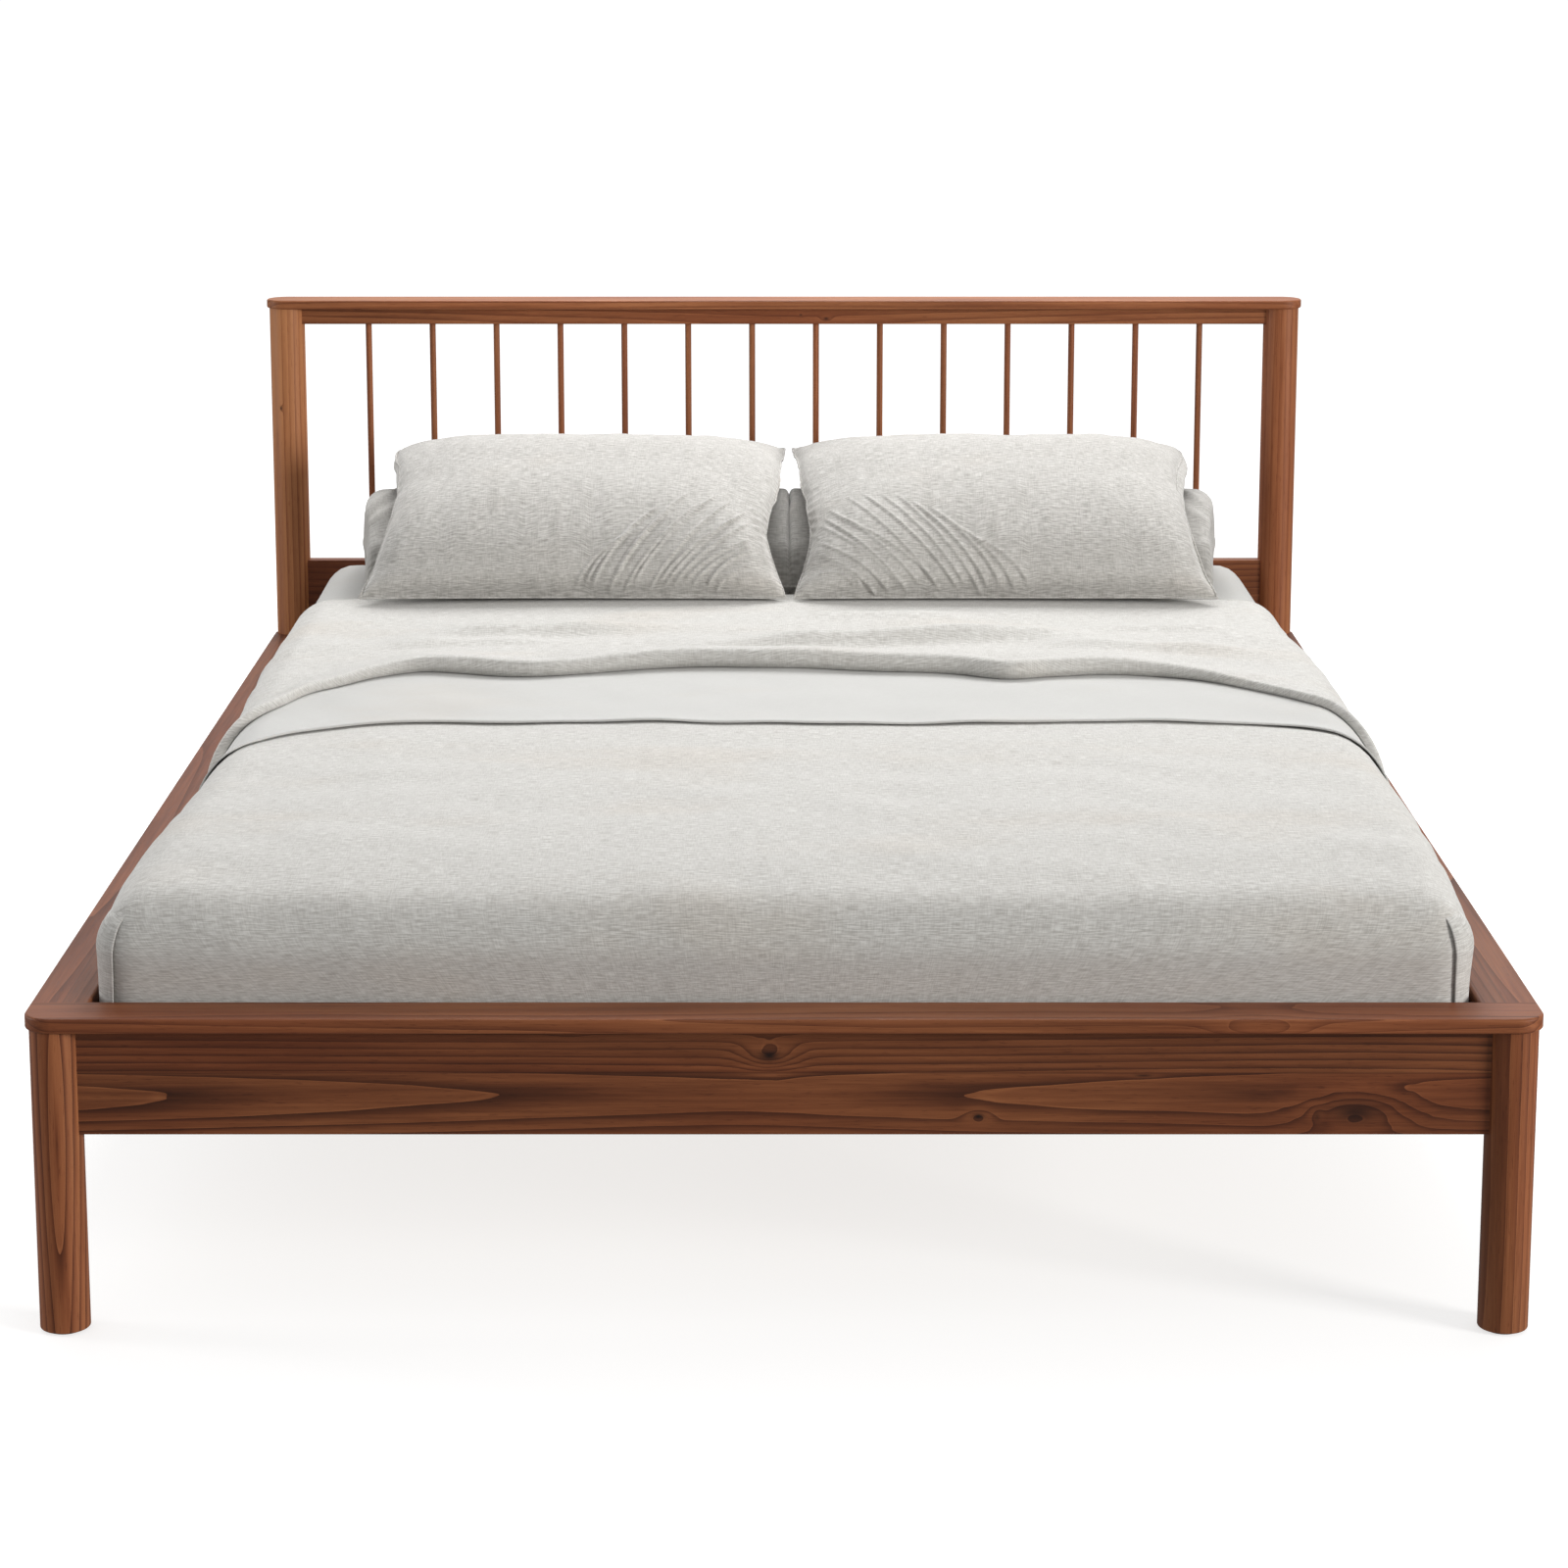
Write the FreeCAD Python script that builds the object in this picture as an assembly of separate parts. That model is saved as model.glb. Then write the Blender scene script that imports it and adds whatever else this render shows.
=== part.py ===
import FreeCAD, Part
import math
import os

# A spindle bed: a low frame of stained wood on round legs with a flat cap all round it, a headboard
# of thin round spindles, a slatted base on a centre beam, and a made-up mattress with four pillows.
# Millimetres. +X is to the right seen from the foot end, +Y runs from foot to head, +Z is up.
# The origin is on the floor, under the middle of the whole bed.

os.makedirs("parts", exist_ok=True)
Vector = FreeCAD.Vector
X_AXIS = Vector(1, 0, 0)
Y_AXIS = Vector(0, 1, 0)
Z_AXIS = Vector(0, 0, 1)
SIDES = {"left": -1, "right": 1}

# ---------------------------------------------------------------------------- driving dimensions
# mattress, and the room round it
mattress_width = 1524.0
mattress_length = 2032.0
mattress_thickness = 229.0
mattress_crown = 8.0
mattress_top_rounding = 55.0
mattress_bottom_rounding = 10.0
mattress_corner_radius = 85.0
mattress_side_draw = 3.0
mattress_side_room = 8.0
mattress_end_room = 9.0

# legs and posts, the caps that lie on them and the glides under them
leg_diameter = 56.0
leg_end_rounding = 2.0
cap_overhang = 4.0
cap_thickness = 17.0
cap_rounding = 3.0
headboard_height = 916.0
headboard_cap_thickness = 14.0
glide_diameter = 40.0
glide_thickness = 3.0

# rails
rail_bottom = 230.0
rail_height = 121.0
rail_thickness = 25.0
rail_rounding = 1.5
rail_housing_depth = 12.0
lower_head_rail_height = 259.0
top_head_rail_height = 26.0

# spindles
spindle_count = 14
spindle_diameter = 10.0
spindle_depth_below = 15.0
spindle_depth_above = 12.0
spindle_end_room = 1.0

# slatted base
slat_count = 12
slat_width = 95.0
slat_thickness = 18.0
slat_end_gap = 1.0
ledger_width = 20.0
ledger_height = 22.0
ledger_end_gap = 2.0
beam_width = 70.0
beam_height = 24.0
hanger_thickness = 2.0
hanger_reach = 40.0
hanger_flange = 22.0
hanger_rise = 22.0
support_leg_diameter = 40.0
support_leg_spacing = 600.0
support_tenon_diameter = 16.0
support_tenon_length = 10.0
levelling_disc_diameter = 36.0
levelling_disc_thickness = 8.0
levelling_stem_diameter = 8.0
levelling_stem_length = 30.0

# fasteners
bolt_diameter = 8.0
bolt_in_leg = 24.0
bolt_in_rail = 52.0
bolt_height = 30.0
bolt_stagger = 15.0
bolt_pitch = 60.0
head_bolt_pitch = 160.0
nut_diameter = 14.0
nut_length = 16.0
nut_from_rail_end = 40.0
screw_diameter = 4.0
screw_head_diameter = 8.0
screw_head_height = 3.0
long_screw_length = 32.0
short_screw_length = 18.0

# clearances: round a fastener or spindle in its hole, and between soft pieces
hole_clearance = 0.1
soft_clearance = 0.3

# layers of bedding: how thick each is, and where it ends
sheet_thickness = 1.0
cover_thickness = 2.0
cuff_thickness = 2.0
fold_thickness = 6.0
sheet_hem_height = 18.0
cover_hem_height = 30.0
drape_above_cap = 4.0
bedding_head_edge = 625.0
cuff_hem_middle = -266.0
cuff_hem_side = -360.0
fold_edge_middle = 28.0
fold_edge_side = -300.0
fold_edge_straight = 1120.0

# pillows
pillow_shift = 8.0
pillow_gap = 4.0
pillow_seam = 5.0
pillow_rest_clearance = 4.0
front_pillow_width = 656.0
front_pillow_depth = 383.0
front_pillow_rise = 178.0
front_pillow_crown = 110.0
front_pillow_from_headboard = 465.0
front_pillow_edge_draw = 8.0
front_pillow_edge_lift = 4.0
front_pillow_edge_rounding = 28.0
front_pillow_face_steps = (8.0, 30.0, 75.0)
front_pillow_over_rear = (0.4, 0.55, 0.7)
front_pillow_sag = 4.0
rear_pillow_width = 672.0
rear_pillow_depth = 370.0
rear_pillow_height = 138.0
rear_pillow_seam_height = 46.0
rear_pillow_bottom_rounding = 45.0
rear_pillow_from_headboard = 10.0

# where a pillow is cut into sections, as a share of its half width, and how plump it is there
rear_pillow_sections = ((1.0, 0.55), (0.985, 0.78), (0.95, 0.9), (0.8, 0.97), (0.4, 1.0))
front_pillow_sections = ((1.0, 0.12), (0.985, 0.3), (0.95, 0.5), (0.88, 0.7), (0.7, 0.9), (0.4, 0.985))

# ------------------------------------------------------------------------------- derived sizes
leg_radius = leg_diameter / 2
cap_width = leg_diameter + 2 * cap_overhang
half_rail = rail_thickness / 2
inner_width = mattress_width + 2 * mattress_side_room
inner_length = mattress_length + 2 * mattress_end_room
overall_width = inner_width + 2 * cap_width
overall_length = cap_width + inner_length + half_rail + cap_width / 2
leg_x = overall_width / 2 - cap_width / 2
leg_y = overall_length / 2 - cap_width / 2
rail_top = rail_bottom + rail_height
cap_top = rail_top + cap_thickness
post_top = headboard_height - headboard_cap_thickness
rail_end_from_axis = leg_radius - rail_housing_depth
foot_inner_face = -leg_y + half_rail
head_inner_face = leg_y - half_rail
side_inner_face = leg_x - half_rail
foot_cap_back = -overall_length / 2 + cap_width
lower_head_rail_top = rail_bottom + lower_head_rail_height
top_head_rail_bottom = post_top - top_head_rail_height
slat_bottom = rail_bottom + ledger_height
slat_top = slat_bottom + slat_thickness
beam_bottom = slat_bottom - beam_height
ledger_middle = side_inner_face - ledger_width / 2
mattress_middle = foot_cap_back + mattress_end_room + mattress_length / 2
mattress_shoulder = slat_top + mattress_thickness - mattress_crown

# each layer's inner and outer distance from the mattress, from the sheet outwards
sheet_layer = (soft_clearance, soft_clearance + sheet_thickness)
cover_layer = (sheet_layer[1] + soft_clearance, sheet_layer[1] + soft_clearance + cover_thickness)
cuff_layer = (cover_layer[1] + soft_clearance, cover_layer[1] + soft_clearance + cuff_thickness)
fold_layer = (cuff_layer[1] + soft_clearance, cuff_layer[1] + soft_clearance + fold_thickness)

parts = {}


# -------------------------------------------------------------------------------------- helpers
def block(x_range, y_range, z_range):
    """A box between two X, two Y and two Z values, each pair in either order."""
    ranges = (x_range, y_range, z_range)
    size = [abs(pair[1] - pair[0]) for pair in ranges]
    return Part.makeBox(*size, Vector(*[min(pair) for pair in ranges]))


def rod(diameter, start, direction, length):
    """A cylinder from a start point along a direction."""
    return Part.makeCylinder(diameter / 2, length, start, direction)


def board(x_range, y_range, z_range, along):
    """A box with the four edges along one axis rounded."""
    shape = block(x_range, y_range, z_range)
    edges = []
    for edge in shape.Edges:
        run = edge.Vertexes[1].Point - edge.Vertexes[0].Point
        if abs(run.dot(along)) > 0.5 * run.Length:
            edges.append(edge)
    return shape.makeFillet(rail_rounding, edges)


def outline(runs):
    """A closed wire: two points make a line, and three an arc through the middle one."""
    edges = []
    for run in runs:
        curve = Part.LineSegment(*run) if len(run) == 2 else Part.Arc(*run)
        edges.append(curve.toShape())
    return Part.Wire(edges)


def plate(runs, thickness):
    """A plate of an outline in a level plane, upwards from it."""
    return Part.Face(outline(runs)).extrude(Z_AXIS * thickness)


def level_edges(shape, z, skip=lambda edge: False):
    """The edges of a plate's face at height z, without those that a test skips."""
    return [edge for edge in shape.Edges
            if all(abs(vertex.Z - z) < 1e-6 for vertex in edge.Vertexes) and not skip(edge)]


def countersunk_screw(head, direction, length, room=0.0):
    """A countersunk screw from the middle of its head's face, or with some room its hole."""
    cone = Part.makeCone(screw_head_diameter / 2 + room, screw_diameter / 2 + room,
                         screw_head_height, head, direction)
    shank = rod(screw_diameter + 2 * room, head + direction * screw_head_height, direction,
                length - screw_head_height + room)
    return cone.fuse(shank).removeSplitter()


def cut_all(shape, tools):
    """A shape less all of some tools."""
    return shape.cut(Part.makeCompound(tools)) if tools else shape


# --------------------------------------------------------------------------------- fasteners
def bolt_joints():
    """Each bolt: its rail, its leg, the point on the leg's axis, its way into the rail, and the
    way from the rail's middle to its inner face."""
    first = rail_bottom + bolt_height
    joints = []
    for side, sign in SIDES.items():
        inwards = X_AXIS * -sign
        for z in (first, first + bolt_pitch):
            joints.append(("footboard_panel", f"foot_leg_{side}",
                           Vector(sign * leg_x, -leg_y, z), inwards, Y_AXIS))
        for z in (first, first + head_bolt_pitch):
            joints.append(("headboard_lower_rail", f"head_post_{side}",
                           Vector(sign * leg_x, leg_y, z), inwards, Y_AXIS * -1))
        for z in (first + bolt_stagger, first + bolt_stagger + bolt_pitch):
            joints.append((f"side_rail_{side}", f"foot_leg_{side}",
                           Vector(sign * leg_x, -leg_y, z), Y_AXIS, inwards))
            joints.append((f"side_rail_{side}", f"head_post_{side}",
                           Vector(sign * leg_x, leg_y, z), Y_AXIS * -1, inwards))
    return joints


def bolts_and_nuts():
    """Headless bolts from the legs into the rails, and the barrel nuts that draw them tight."""
    bolts, nuts = [], []
    for _, _, axis_point, along, inner in bolt_joints():
        rail_end = axis_point + along * rail_end_from_axis
        bolt = rod(bolt_diameter, rail_end - along * bolt_in_leg, along, bolt_in_leg + bolt_in_rail)
        bolts.append(bolt)
        nut_middle = rail_end + along * nut_from_rail_end
        nut = rod(nut_diameter, nut_middle - inner * (nut_length / 2), inner, nut_length)
        nuts.append(nut.cut(rod(bolt_diameter + 2 * hole_clearance, rail_end, along, bolt_in_rail)))
    parts["bed_bolts"] = Part.makeCompound(bolts)
    parts["barrel_nuts"] = Part.makeCompound(nuts)


def bolt_holes(node):
    """The bolt holes and nut pockets that one rail or leg needs."""
    tools = []
    for rail, leg, axis_point, along, inner in bolt_joints():
        if node not in (rail, leg):
            continue
        rail_end = axis_point + along * rail_end_from_axis
        start = rail_end - along * (bolt_in_leg + hole_clearance)
        length = bolt_in_leg + bolt_in_rail + 2 * hole_clearance
        tools.append(rod(bolt_diameter + 2 * hole_clearance, start, along, length))
        if node == rail:
            deep_end = rail_end + along * nut_from_rail_end - inner * (nut_length / 2 + hole_clearance)
            depth = half_rail + nut_length / 2 + 2 * hole_clearance
            tools.append(rod(nut_diameter + 2 * hole_clearance, deep_end, inner, depth))
    return tools


def slat_centres():
    """The slats' middles along Y, with equal gaps between them and at both ends."""
    first_face, last_face = foot_inner_face, head_inner_face
    gap = (last_face - first_face - slat_count * slat_width) / (slat_count + 1)
    return [first_face + gap + slat_width / 2 + i * (slat_width + gap) for i in range(slat_count)]


def slat_screw_places(sign):
    """A screw through each slat's end, down into the ledger of one side."""
    return [(Vector(sign * ledger_middle, y, slat_top), Z_AXIS * -1, long_screw_length)
            for y in slat_centres()]


def ledger_screw_places(sign):
    """A screw through the ledger into the side rail, in every second gap between slats."""
    centres = slat_centres()
    z = rail_bottom + ledger_height / 2
    x = sign * (side_inner_face - ledger_width)
    return [(Vector(x, (before + after) / 2, z), X_AXIS * sign, long_screw_length)
            for before, after in zip(centres[::2], centres[1::2])]


def hanger_screw_places(face_y, outwards):
    """Two screws through each flange of a beam hanger, into the panel or rail behind it."""
    x = beam_width / 2 + hanger_thickness + hanger_flange / 2
    heights = (rail_bottom + hanger_flange / 2, slat_bottom + hanger_rise / 2)
    start_y = face_y - outwards * hanger_thickness
    return [(Vector(sign * x, start_y, z), Y_AXIS * outwards, short_screw_length)
            for sign in (-1, 1) for z in heights]


def screws(places, room=0.0):
    """The screws at some places, or with some room their holes."""
    return [countersunk_screw(head, way, length, room) for head, way, length in places]


def all_screws():
    """Every wood screw of the slatted base."""
    places = []
    for sign in SIDES.values():
        places += slat_screw_places(sign) + ledger_screw_places(sign)
    places += hanger_screw_places(foot_inner_face, -1) + hanger_screw_places(head_inner_face, 1)
    parts["wood_screws"] = Part.makeCompound(screws(places))


# ------------------------------------------------------------------------------ boards and caps
def rail_spans():
    """The X, Y and Z spans of each rail and the axis that it runs along."""
    end_x = leg_x - rail_end_from_axis
    end_y = leg_y - rail_end_from_axis
    foot = (-leg_y - half_rail, -leg_y + half_rail)
    head = (leg_y - half_rail, leg_y + half_rail)
    spans = {
        "footboard_panel": ((-end_x, end_x), foot, (rail_bottom, rail_top), X_AXIS),
        "headboard_lower_rail": ((-end_x, end_x), head, (rail_bottom, lower_head_rail_top), X_AXIS),
        "headboard_top_rail": ((-end_x, end_x), head, (top_head_rail_bottom, post_top), X_AXIS),
    }
    for side, sign in SIDES.items():
        across = (sign * (leg_x - half_rail), sign * (leg_x + half_rail))
        spans[f"side_rail_{side}"] = (across, (-end_y, end_y), (rail_bottom, rail_top), Y_AXIS)
    return spans


def spindle_places():
    """The spindles' X places, with equal gaps between the posts."""
    clear = 2 * (leg_x - leg_radius)
    pitch = clear / (spindle_count + 1)
    return [-clear / 2 + pitch * (i + 1) for i in range(spindle_count)]


def spindle_holes(z, depth):
    """Blind holes for the spindles from height z, upwards for a positive depth."""
    way = Z_AXIS if depth > 0 else Z_AXIS * -1
    return [rod(spindle_diameter + 2 * hole_clearance, Vector(x, leg_y, z), way, abs(depth))
            for x in spindle_places()]


def rails():
    """The foot panel, the two side rails and the two rails of the headboard."""
    extra_holes = {
        "footboard_panel": screws(hanger_screw_places(foot_inner_face, -1), hole_clearance),
        "headboard_lower_rail": screws(hanger_screw_places(head_inner_face, 1), hole_clearance)
        + spindle_holes(lower_head_rail_top, -spindle_depth_below),
        "headboard_top_rail": spindle_holes(top_head_rail_bottom,
                                            spindle_depth_above + spindle_end_room),
    }
    for side, sign in SIDES.items():
        extra_holes[f"side_rail_{side}"] = screws(ledger_screw_places(sign), hole_clearance)
    for name, spans in rail_spans().items():
        parts[name] = cut_all(board(*spans), bolt_holes(name) + extra_holes[name])


def spindles():
    """Round spindles, each seated on the floor of its hole in the lower rail."""
    bottom = lower_head_rail_top - spindle_depth_below
    length = top_head_rail_bottom + spindle_depth_above - bottom
    for number, x in enumerate(spindle_places(), 1):
        parts[f"spindle_{number:02d}"] = rod(spindle_diameter, Vector(x, leg_y, bottom), Z_AXIS,
                                             length)


def turned_leg(name, x, y, top):
    """A round leg or post on its glide, housed for the rails that enter it."""
    leg = rod(leg_diameter, Vector(x, y, glide_thickness), Z_AXIS, top - glide_thickness)
    leg = leg.makeFillet(leg_end_rounding, level_edges(leg, glide_thickness))
    housings = [block(*spans[:3]) for spans in rail_spans().values()]
    return cut_all(leg, housings + bolt_holes(name))


def legs():
    """Two foot legs under the cap, two head posts, and a glide under each."""
    glides = []
    for side, sign in SIDES.items():
        for name, y, top in (("foot_leg", -leg_y, rail_top), ("head_post", leg_y, post_top)):
            node = f"{name}_{side}"
            parts[node] = turned_leg(node, sign * leg_x, y, top)
            glides.append(rod(glide_diameter, Vector(sign * leg_x, y, 0), Z_AXIS, glide_thickness))
    parts["leg_glides"] = Part.makeCompound(glides)


def foot_cap():
    """The flat cap over the foot panel, its two front corners round like the legs below."""
    left, front, back = -overall_width / 2, -overall_length / 2, foot_cap_back
    radius = cap_width / 2
    slant = radius * (1 - math.sqrt(0.5))
    z = rail_top
    runs = [
        (Vector(left, back, z), Vector(left, front + radius, z)),
        (Vector(left, front + radius, z), Vector(left + slant, front + slant, z),
         Vector(left + radius, front, z)),
        (Vector(left + radius, front, z), Vector(-left - radius, front, z)),
        (Vector(-left - radius, front, z), Vector(-left - slant, front + slant, z),
         Vector(-left, front + radius, z)),
        (Vector(-left, front + radius, z), Vector(-left, back, z)),
        (Vector(-left, back, z), Vector(left, back, z)),
    ]
    cap = plate(runs, cap_thickness)
    at_back = lambda edge: all(abs(vertex.Y - back) < 1e-6 for vertex in edge.Vertexes)
    edges = level_edges(cap, rail_top, at_back) + level_edges(cap, cap_top, at_back)
    parts["footboard_cap"] = cap.makeFillet(cap_rounding, edges)


def side_caps():
    """The flat caps over the side rails, coped round the head posts and the lower head rail."""
    for side, sign in SIDES.items():
        across = (sign * (overall_width / 2 - cap_width), sign * overall_width / 2)
        cap = block(across, (foot_cap_back, leg_y), (rail_top, cap_top))
        long_edges = [edge for edge in cap.Edges if edge.Length > leg_y]
        cap = cap.makeFillet(cap_rounding, long_edges)
        post = rod(leg_diameter + 2 * hole_clearance, Vector(sign * leg_x, leg_y, 0), Z_AXIS,
                   headboard_height)
        end_x = leg_x - rail_end_from_axis + hole_clearance
        rail = block((-end_x, end_x), (head_inner_face - hole_clearance, leg_y + half_rail),
                     (rail_bottom, lower_head_rail_top))
        parts[f"side_cap_{side}"] = cap.cut(post).cut(rail)


def headboard_cap():
    """The flat cap over the posts, with half-round ends."""
    end = leg_x
    radius = cap_width / 2
    z = post_top
    runs = [
        (Vector(-end, leg_y - radius, z), Vector(end, leg_y - radius, z)),
        (Vector(end, leg_y - radius, z), Vector(end + radius, leg_y, z),
         Vector(end, leg_y + radius, z)),
        (Vector(end, leg_y + radius, z), Vector(-end, leg_y + radius, z)),
        (Vector(-end, leg_y + radius, z), Vector(-end - radius, leg_y, z),
         Vector(-end, leg_y - radius, z)),
    ]
    cap = plate(runs, headboard_cap_thickness)
    edges = level_edges(cap, post_top) + level_edges(cap, headboard_height)
    parts["headboard_cap"] = cap.makeFillet(cap_rounding, edges)


# --------------------------------------------------------------------------------- slatted base
def slats_and_ledgers():
    """Slats across the bed, screwed down to a ledger along each side rail."""
    for side, sign in SIDES.items():
        end = leg_y - leg_radius - ledger_end_gap
        ledger = block((sign * (side_inner_face - ledger_width), sign * side_inner_face),
                       (-end, end), (rail_bottom, slat_bottom))
        holes = screws(slat_screw_places(sign) + ledger_screw_places(sign), hole_clearance)
        parts[f"slat_ledger_{side}"] = cut_all(ledger, holes)
    half_length = side_inner_face - slat_end_gap
    screw_holes = screws(slat_screw_places(-1) + slat_screw_places(1), hole_clearance)
    for number, y in enumerate(slat_centres(), 1):
        slat = board((-half_length, half_length), (y - slat_width / 2, y + slat_width / 2),
                     (slat_bottom, slat_top), X_AXIS)
        parts[f"slat_{number:02d}"] = cut_all(slat, screw_holes)


def support_leg_places():
    """The support legs' Y places, evenly about the bed's middle."""
    return {"front": -support_leg_spacing / 2, "rear": support_leg_spacing / 2}


def centre_beam():
    """A beam under the middle of the slats, in a steel hanger at each end."""
    half = beam_width / 2
    ends = (foot_inner_face + hanger_thickness, head_inner_face - hanger_thickness)
    beam = block((-half, half), ends, (beam_bottom, slat_bottom))
    sockets = [rod(support_tenon_diameter + 2 * hole_clearance, Vector(0, y, beam_bottom), Z_AXIS,
                   support_tenon_length + hole_clearance) for y in support_leg_places().values()]
    parts["centre_beam"] = cut_all(beam, sockets)
    hangers = []
    for face, outwards in ((foot_inner_face, -1), (head_inner_face, 1)):
        wall = half + hanger_thickness
        plate_y = face - outwards * hanger_thickness
        reach_y = face - outwards * hanger_reach
        back = block((-wall - hanger_flange, wall + hanger_flange), (face, plate_y),
                     (beam_bottom - hanger_thickness, slat_bottom + hanger_rise))
        shoe = block((-wall, wall), (face, reach_y), (beam_bottom - hanger_thickness, slat_bottom))
        room = block((-half, half), (plate_y, reach_y), (beam_bottom, slat_bottom))
        hanger = back.fuse(shoe).cut(room).removeSplitter()
        hangers.append(cut_all(hanger, screws(hanger_screw_places(face, outwards), hole_clearance)))
    parts["beam_hangers"] = Part.makeCompound(hangers)


def support_legs():
    """Two round legs under the beam, each with a tenon above and a levelling foot below."""
    for place, y in support_leg_places().items():
        bottom = levelling_disc_thickness
        leg = rod(support_leg_diameter, Vector(0, y, bottom), Z_AXIS, beam_bottom - bottom)
        tenon = rod(support_tenon_diameter, Vector(0, y, beam_bottom), Z_AXIS, support_tenon_length)
        socket = rod(levelling_stem_diameter + 2 * hole_clearance, Vector(0, y, bottom), Z_AXIS,
                     levelling_stem_length + hole_clearance)
        parts[f"support_leg_{place}"] = leg.fuse(tenon).cut(socket).removeSplitter()
        disc = rod(levelling_disc_diameter, Vector(0, y, 0), Z_AXIS, levelling_disc_thickness)
        stem = rod(levelling_stem_diameter, Vector(0, y, 0), Z_AXIS,
                   levelling_disc_thickness + levelling_stem_length)
        parts[f"levelling_foot_{place}"] = disc.fuse(stem).removeSplitter()


# ------------------------------------------------------------------------- mattress and bedding
def mattress_outline(offset, inset, z):
    """A level, round-cornered outline of the mattress grown by offset, drawn in by inset."""
    half_x = mattress_width / 2 + offset - inset
    half_y = mattress_length / 2 + offset - inset
    radius = mattress_corner_radius + offset - min(inset, mattress_top_rounding + offset)
    slant = radius * (1 - math.sqrt(0.5))
    runs = []
    corners = ((half_x, half_y), (-half_x, half_y), (-half_x, -half_y), (half_x, -half_y))
    for (x, y), (next_x, next_y) in zip(corners, corners[1:] + corners[:1]):
        way_x, way_y = math.copysign(1, x), math.copysign(1, y)
        along_x = Vector(x - way_x * radius, mattress_middle + y, z)
        along_y = Vector(x, mattress_middle + y - way_y * radius, z)
        middle = Vector(x - way_x * slant, mattress_middle + y - way_y * slant, z)
        enters_along_y = way_x == way_y
        start, end = (along_y, along_x) if enters_along_y else (along_x, along_y)
        runs.append((start, middle, end))
        next_way_x, next_way_y = math.copysign(1, next_x), math.copysign(1, next_y)
        if enters_along_y:
            following = Vector(next_x - next_way_x * radius, mattress_middle + next_y, z)
        else:
            following = Vector(next_x, mattress_middle + next_y - next_way_y * radius, z)
        runs.append((end, following))
    return outline(runs)


def mattress_form(offset):
    """The mattress grown by offset: sides a little drawn in, a round top edge and a low crown."""
    rounding = mattress_top_rounding + offset
    edge_centre = mattress_shoulder - mattress_top_rounding
    side_bottom = slat_top + mattress_bottom_rounding
    levels = [(mattress_bottom_rounding, slat_top), (0, side_bottom),
              (mattress_side_draw, (side_bottom + edge_centre) / 2)]
    for degrees in (0, 22.5, 45, 67.5, 90):
        angle = math.radians(degrees)
        levels.append((rounding * (1 - math.cos(angle)), edge_centre + rounding * math.sin(angle)))
    crown_reach = mattress_width / 2 - mattress_top_rounding
    for share in (0.2, 0.5, 0.85):
        levels.append((rounding + share * crown_reach,
                       mattress_shoulder + offset + mattress_crown * (1 - (1 - share) ** 2)))
    wires = [mattress_outline(offset, inset, z) for inset, z in levels]
    return Part.makeLoft(wires, True, True)


def bedding_layer(layer, region):
    """The part of a shell round the mattress, from its inner to its outer offset, in a region."""
    inside, outside = layer
    return mattress_form(outside).cut(mattress_form(inside)).common(region)


def cuff_region(bottom):
    """From the hem, a shallow arc across the bed, to the head edge of the bedding."""
    half = overall_width / 2
    runs = [
        (Vector(-half, cuff_hem_side, bottom), Vector(0, cuff_hem_middle, bottom),
         Vector(half, cuff_hem_side, bottom)),
        (Vector(half, cuff_hem_side, bottom), Vector(half, bedding_head_edge, bottom)),
        (Vector(half, bedding_head_edge, bottom), Vector(-half, bedding_head_edge, bottom)),
        (Vector(-half, bedding_head_edge, bottom), Vector(-half, cuff_hem_side, bottom)),
    ]
    return plate(runs, headboard_height)


def fold_region(bottom):
    """From the folded edge, straight across the top and swept to the foot at both sides."""
    half = overall_width / 2
    straight = fold_edge_straight / 2
    bend_x = straight + (half - straight) * math.sqrt(0.5)
    bend_y = fold_edge_side + (fold_edge_middle - fold_edge_side) * math.sqrt(0.5)
    left_bend, right_bend = Vector(-bend_x, bend_y, bottom), Vector(bend_x, bend_y, bottom)
    runs = [
        (Vector(-half, fold_edge_side, bottom), left_bend, Vector(-straight, fold_edge_middle, bottom)),
        (Vector(-straight, fold_edge_middle, bottom), Vector(straight, fold_edge_middle, bottom)),
        (Vector(straight, fold_edge_middle, bottom), right_bend, Vector(half, fold_edge_side, bottom)),
        (Vector(half, fold_edge_side, bottom), Vector(half, bedding_head_edge, bottom)),
        (Vector(half, bedding_head_edge, bottom), Vector(-half, bedding_head_edge, bottom)),
        (Vector(-half, bedding_head_edge, bottom), Vector(-half, fold_edge_side, bottom)),
    ]
    return plate(runs, headboard_height)


def mattress_and_bedding():
    """The mattress, its fitted sheet, the tucked-in cover, and the two layers folded over it."""
    width, length = (-overall_width / 2, overall_width / 2), overall_length / 2
    sheet_bottom, cover_bottom = slat_top + sheet_hem_height, slat_top + cover_hem_height
    fold_bottom = cap_top + drape_above_cap
    parts["mattress"] = mattress_form(0)
    parts["fitted_sheet"] = bedding_layer(
        sheet_layer, block(width, (-length, length), (sheet_bottom, headboard_height)))
    parts["bed_cover"] = bedding_layer(
        cover_layer, block(width, (-length, bedding_head_edge), (cover_bottom, headboard_height)))
    parts["sheet_cuff"] = bedding_layer(cuff_layer, cuff_region(fold_bottom))
    parts["cover_fold"] = bedding_layer(fold_layer, fold_region(fold_bottom))


# --------------------------------------------------------------------------------------- pillows
def pillow_middle(sign, width):
    """The X of a pillow's middle: the pair meets a little to the right of the bed's middle."""
    return pillow_shift + sign * (pillow_gap + width) / 2


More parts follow.
